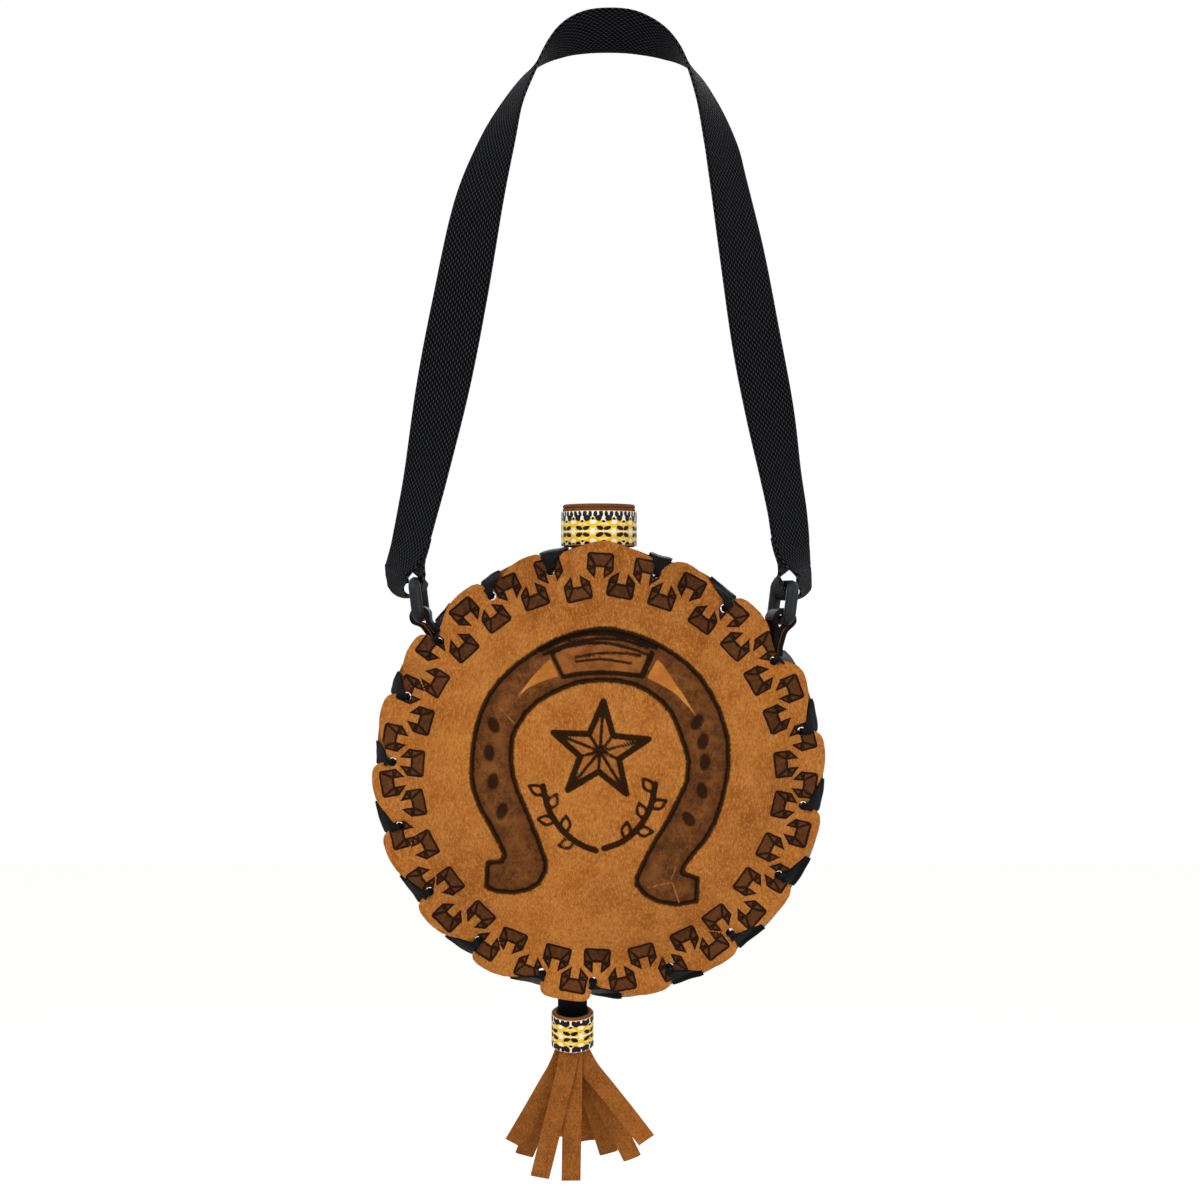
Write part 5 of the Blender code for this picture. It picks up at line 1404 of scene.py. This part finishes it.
def build_loop():
    """A ribbon up from the collar, round the lacing and down again."""
    reach = LOOP_RADIUS + LOOP_THICKNESS / 2
    leg = [(0, -LEG_SPREAD, -LOOP_LENGTH), (0, -LEG_SPREAD, -COLLAR_DROP), (0, -LOOP_NECK_SPREAD, -LOOP_NECK_DROP)]
    turns = [math.pi * (1 - step / LOOP_STEPS) for step in range(LOOP_STEPS + 1)]
    arc = [(0, reach * math.cos(turn), reach * math.sin(turn)) for turn in turns]
    run = curve_through([*leg, *arc, *((0, -y, z) for _, y, z in reversed(leg))], 4)
    across = [TASSEL_TILT @ Vector((1, 0, 0))] * len(run)

    def crown(c, i):
        return LOOP_RIPPLE * math.cos(c * 7.5 + 0.4)

    soft(band("tassel_loop_ribbon", [tilted(place) for place in run], across, np.full(len(run), LOOP_HALF_WIDTH),
              LOOP_THICKNESS, 13, SATIN, "tassel", crown, 60), "black_satin", "tassel_loop")


def build_collar():
    """The leather collar, the printed ribbon round it, and the strips' bound heads inside it."""
    where = ("tassel", TASSEL_HANG, TASSEL_TILT)
    sleeve = rounded_ring(COLLAR_INNER, COLLAR_RADIUS, COLLAR_LOW, COLLAR_TOP, 6, COLLAR_SOFTENING)
    turned(where, "tassel_collar_suede", sleeve, 72, STRAP_LEATHER, "strap_leather", "tassel_collar")
    inner = (COLLAR_RADIUS + CONTACT_GAP) / math.cos(math.pi / COLLAR_SIDES)
    printed = rounded_ring(inner, inner + COLLAR_PRINT_THICKNESS, COLLAR_LOW + CONTACT_GAP, COLLAR_TOP - COLLAR_RIM, 8,
                           BAND_SOFTENING)
    turned(where, "tassel_collar_print", printed, 72, COLLAR_PRINT, "printed_ribbon", "tassel_collar_ribbon")
    profile = [(PINHOLE_RADIUS, CORE_TOP), (CORE_RADIUS - CORE_SOFTENING, CORE_TOP),
               (CORE_RADIUS, CORE_TOP - CORE_SOFTENING), (CORE_RADIUS, CORE_LOW), (PINHOLE_RADIUS, CORE_LOW)]
    turned(where, "tassel_bundle", profile, 48, FRINGE, "brown_suede", "tassel_core")


def build_strip(draw, number, side_lean, back_lean, share, aside):
    """A strip starts straight down in the core, bends to its own side, and sways, twists and curls toward its end."""
    depth = (number - (len(STRIPS) + 1) / 2) * STRIP_PITCH
    spots = [Vector((aside * MM, depth, CORE_LOW - CONTACT_GAP))]
    for step in range(1, STRIP_STEPS + 1):
        bend = min(1, (step - 1) / BEND_STEPS)
        turn, lean = math.radians(side_lean) * bend, math.radians(back_lean) * bend
        length = STRIP_HIDDEN if step == 1 else (STRIP_LENGTH * share - STRIP_HIDDEN) / (STRIP_STEPS - 1)
        spots.append(spots[-1] + length * Vector((math.sin(turn), math.sin(lean), -math.cos(turn) * math.cos(lean))))
    dense = [Vector(row) for row in curve_through([tuple(spot) for spot in spots], 5)]
    phase, sway, curl = draw.uniform(0, 6.28), draw.uniform(0.4, 1.0), draw.uniform(-CURL, CURL)
    room = math.sqrt(CORE_RADIUS**2 - (abs(depth) + STRIP_THICKNESS / 2) ** 2) - abs(aside) * MM
    shares = [i / (len(dense) - 1) for i in range(len(dense))]
    widths, halves = [], []
    for i, tangent in enumerate(directions(dense)):
        normal = (BACK - tangent * tangent.y).normalized()
        across = normal.cross(tangent).normalized()
        fade = max(0.0, (shares[i] - SWAY_START) / (1 - SWAY_START))
        dense[i] = dense[i] + normal * SWAY * sway * fade * math.sin(phase + SWAY_WAVE * shares[i])
        turn = math.radians(SWAY_TWIST) * fade * math.sin(phase * 1.7 + TWIST_WAVE * shares[i])
        widths.append(TASSEL_TILT @ (across * math.cos(turn) + normal * math.sin(turn)))
        halves.append(min(STRIP_WIDTH / 2, room) if shares[i] < NARROW_SHARE else STRIP_WIDTH / 2)
    halves = np.convolve(np.pad(halves, 2, "edge"), np.ones(5) / 5, "valid")

    def crown(c, i):
        return curl * c * c * shares[i]

    soft(band(f"fringe_{number}", [tilted(place) for place in dense], widths, halves, STRIP_THICKNESS, 9, FRINGE,
              "tassel", crown, 50), "brown_suede", f"tassel_strip_{number}")


build_loop()
build_collar()
strip_draws = np.random.default_rng(5)
for number, strip in enumerate(STRIPS, 1):
    build_strip(strip_draws, number, *strip)


# ---- floor, light and camera
FLOOR_DROP = 1.20
FLOOR_HALF_WIDTH = 6.0
FLOOR_WHITE = 0.5
AMBIENT = 0.55


def build_floor():
    """A floor that the camera sees a little brighter than it is lit."""
    wide = FLOOR_HALF_WIDTH
    mesh = bpy.data.meshes.new("floor")
    mesh.from_pydata([(x, y, -FLOOR_DROP) for x, y in ((-wide, -wide), (wide, -wide), (wide, wide), (-wide, wide))], [],
                     [(0, 1, 2, 3)])
    floor = bpy.data.objects.new("floor", mesh)
    SCENE.collection.objects.link(floor)
    look = Look("pale_floor", 0.9, 0.0)
    look.colour(linear(240, 240, 238))
    seen = Value(look.tree, look.node("LightPath").outputs["Is Camera Ray"])
    glow = look.node("Emission", Strength=seen * FLOOR_WHITE)
    both = look.node("AddShader", look.shader.outputs[0], glow.outputs[0])
    look.tree.links.new(both.outputs[0], look.tree.nodes["Material Output"].inputs["Surface"])
    mesh.materials.append(look.made)


def build_world():
    """White behind the object and in what it mirrors, and a softer white to light it."""
    world = bpy.data.worlds.new("studio")
    SCENE.world = world
    world.use_nodes = True
    tree = world.node_tree
    rays = new_node(tree, "LightPath").outputs
    seen, mirrored, through = (Value(tree, rays[f"Is {kind} Ray"]) for kind in ("Camera", "Glossy", "Transmission"))
    light = tree.nodes["Background"]
    plug(tree, light.inputs["Color"], (1.0, 1.0, 1.0))
    plug(tree, light.inputs["Strength"], AMBIENT)
    white = new_node(tree, "Background", (1.0, 1.0, 1.0), 1.0)
    mixer = new_node(tree, "MixShader", seen.most(mirrored).most(through), light.outputs[0], white.outputs[0])
    tree.links.new(mixer.outputs[0], tree.nodes["World Output"].inputs["Surface"])


def lamp(name, place, toward, size, power):
    light = bpy.data.lights.new(name, "AREA")
    light.shape = "SQUARE"
    light.size = size
    light.energy = power
    made = bpy.data.objects.new(name, light)
    made.location = place
    made.rotation_euler = (Vector(toward) - Vector(place)).to_track_quat("-Z", "Y").to_euler()
    SCENE.collection.objects.link(made)


build_floor()
build_world()
MIDDLE = (0, 0, -0.30)
lamp("key", (-1.1, -1.6, 0.9), MIDDLE, 1.2, 22)
lamp("fill", (1.5, -1.5, 0.1), MIDDLE, 1.4, 12)
lamp("back", (0.3, 1.8, 0.8), MIDDLE, 1.4, 14)

view = bpy.data.cameras.new("view")
view.lens = 60
view.sensor_width = 36
camera = bpy.data.objects.new("view", view)
camera.location = (0, -1.0, -0.2835)
camera.rotation_euler = (math.pi / 2, 0, 0)
SCENE.collection.objects.link(camera)
SCENE.camera = camera
SCENE.view_settings.view_transform = "Standard"
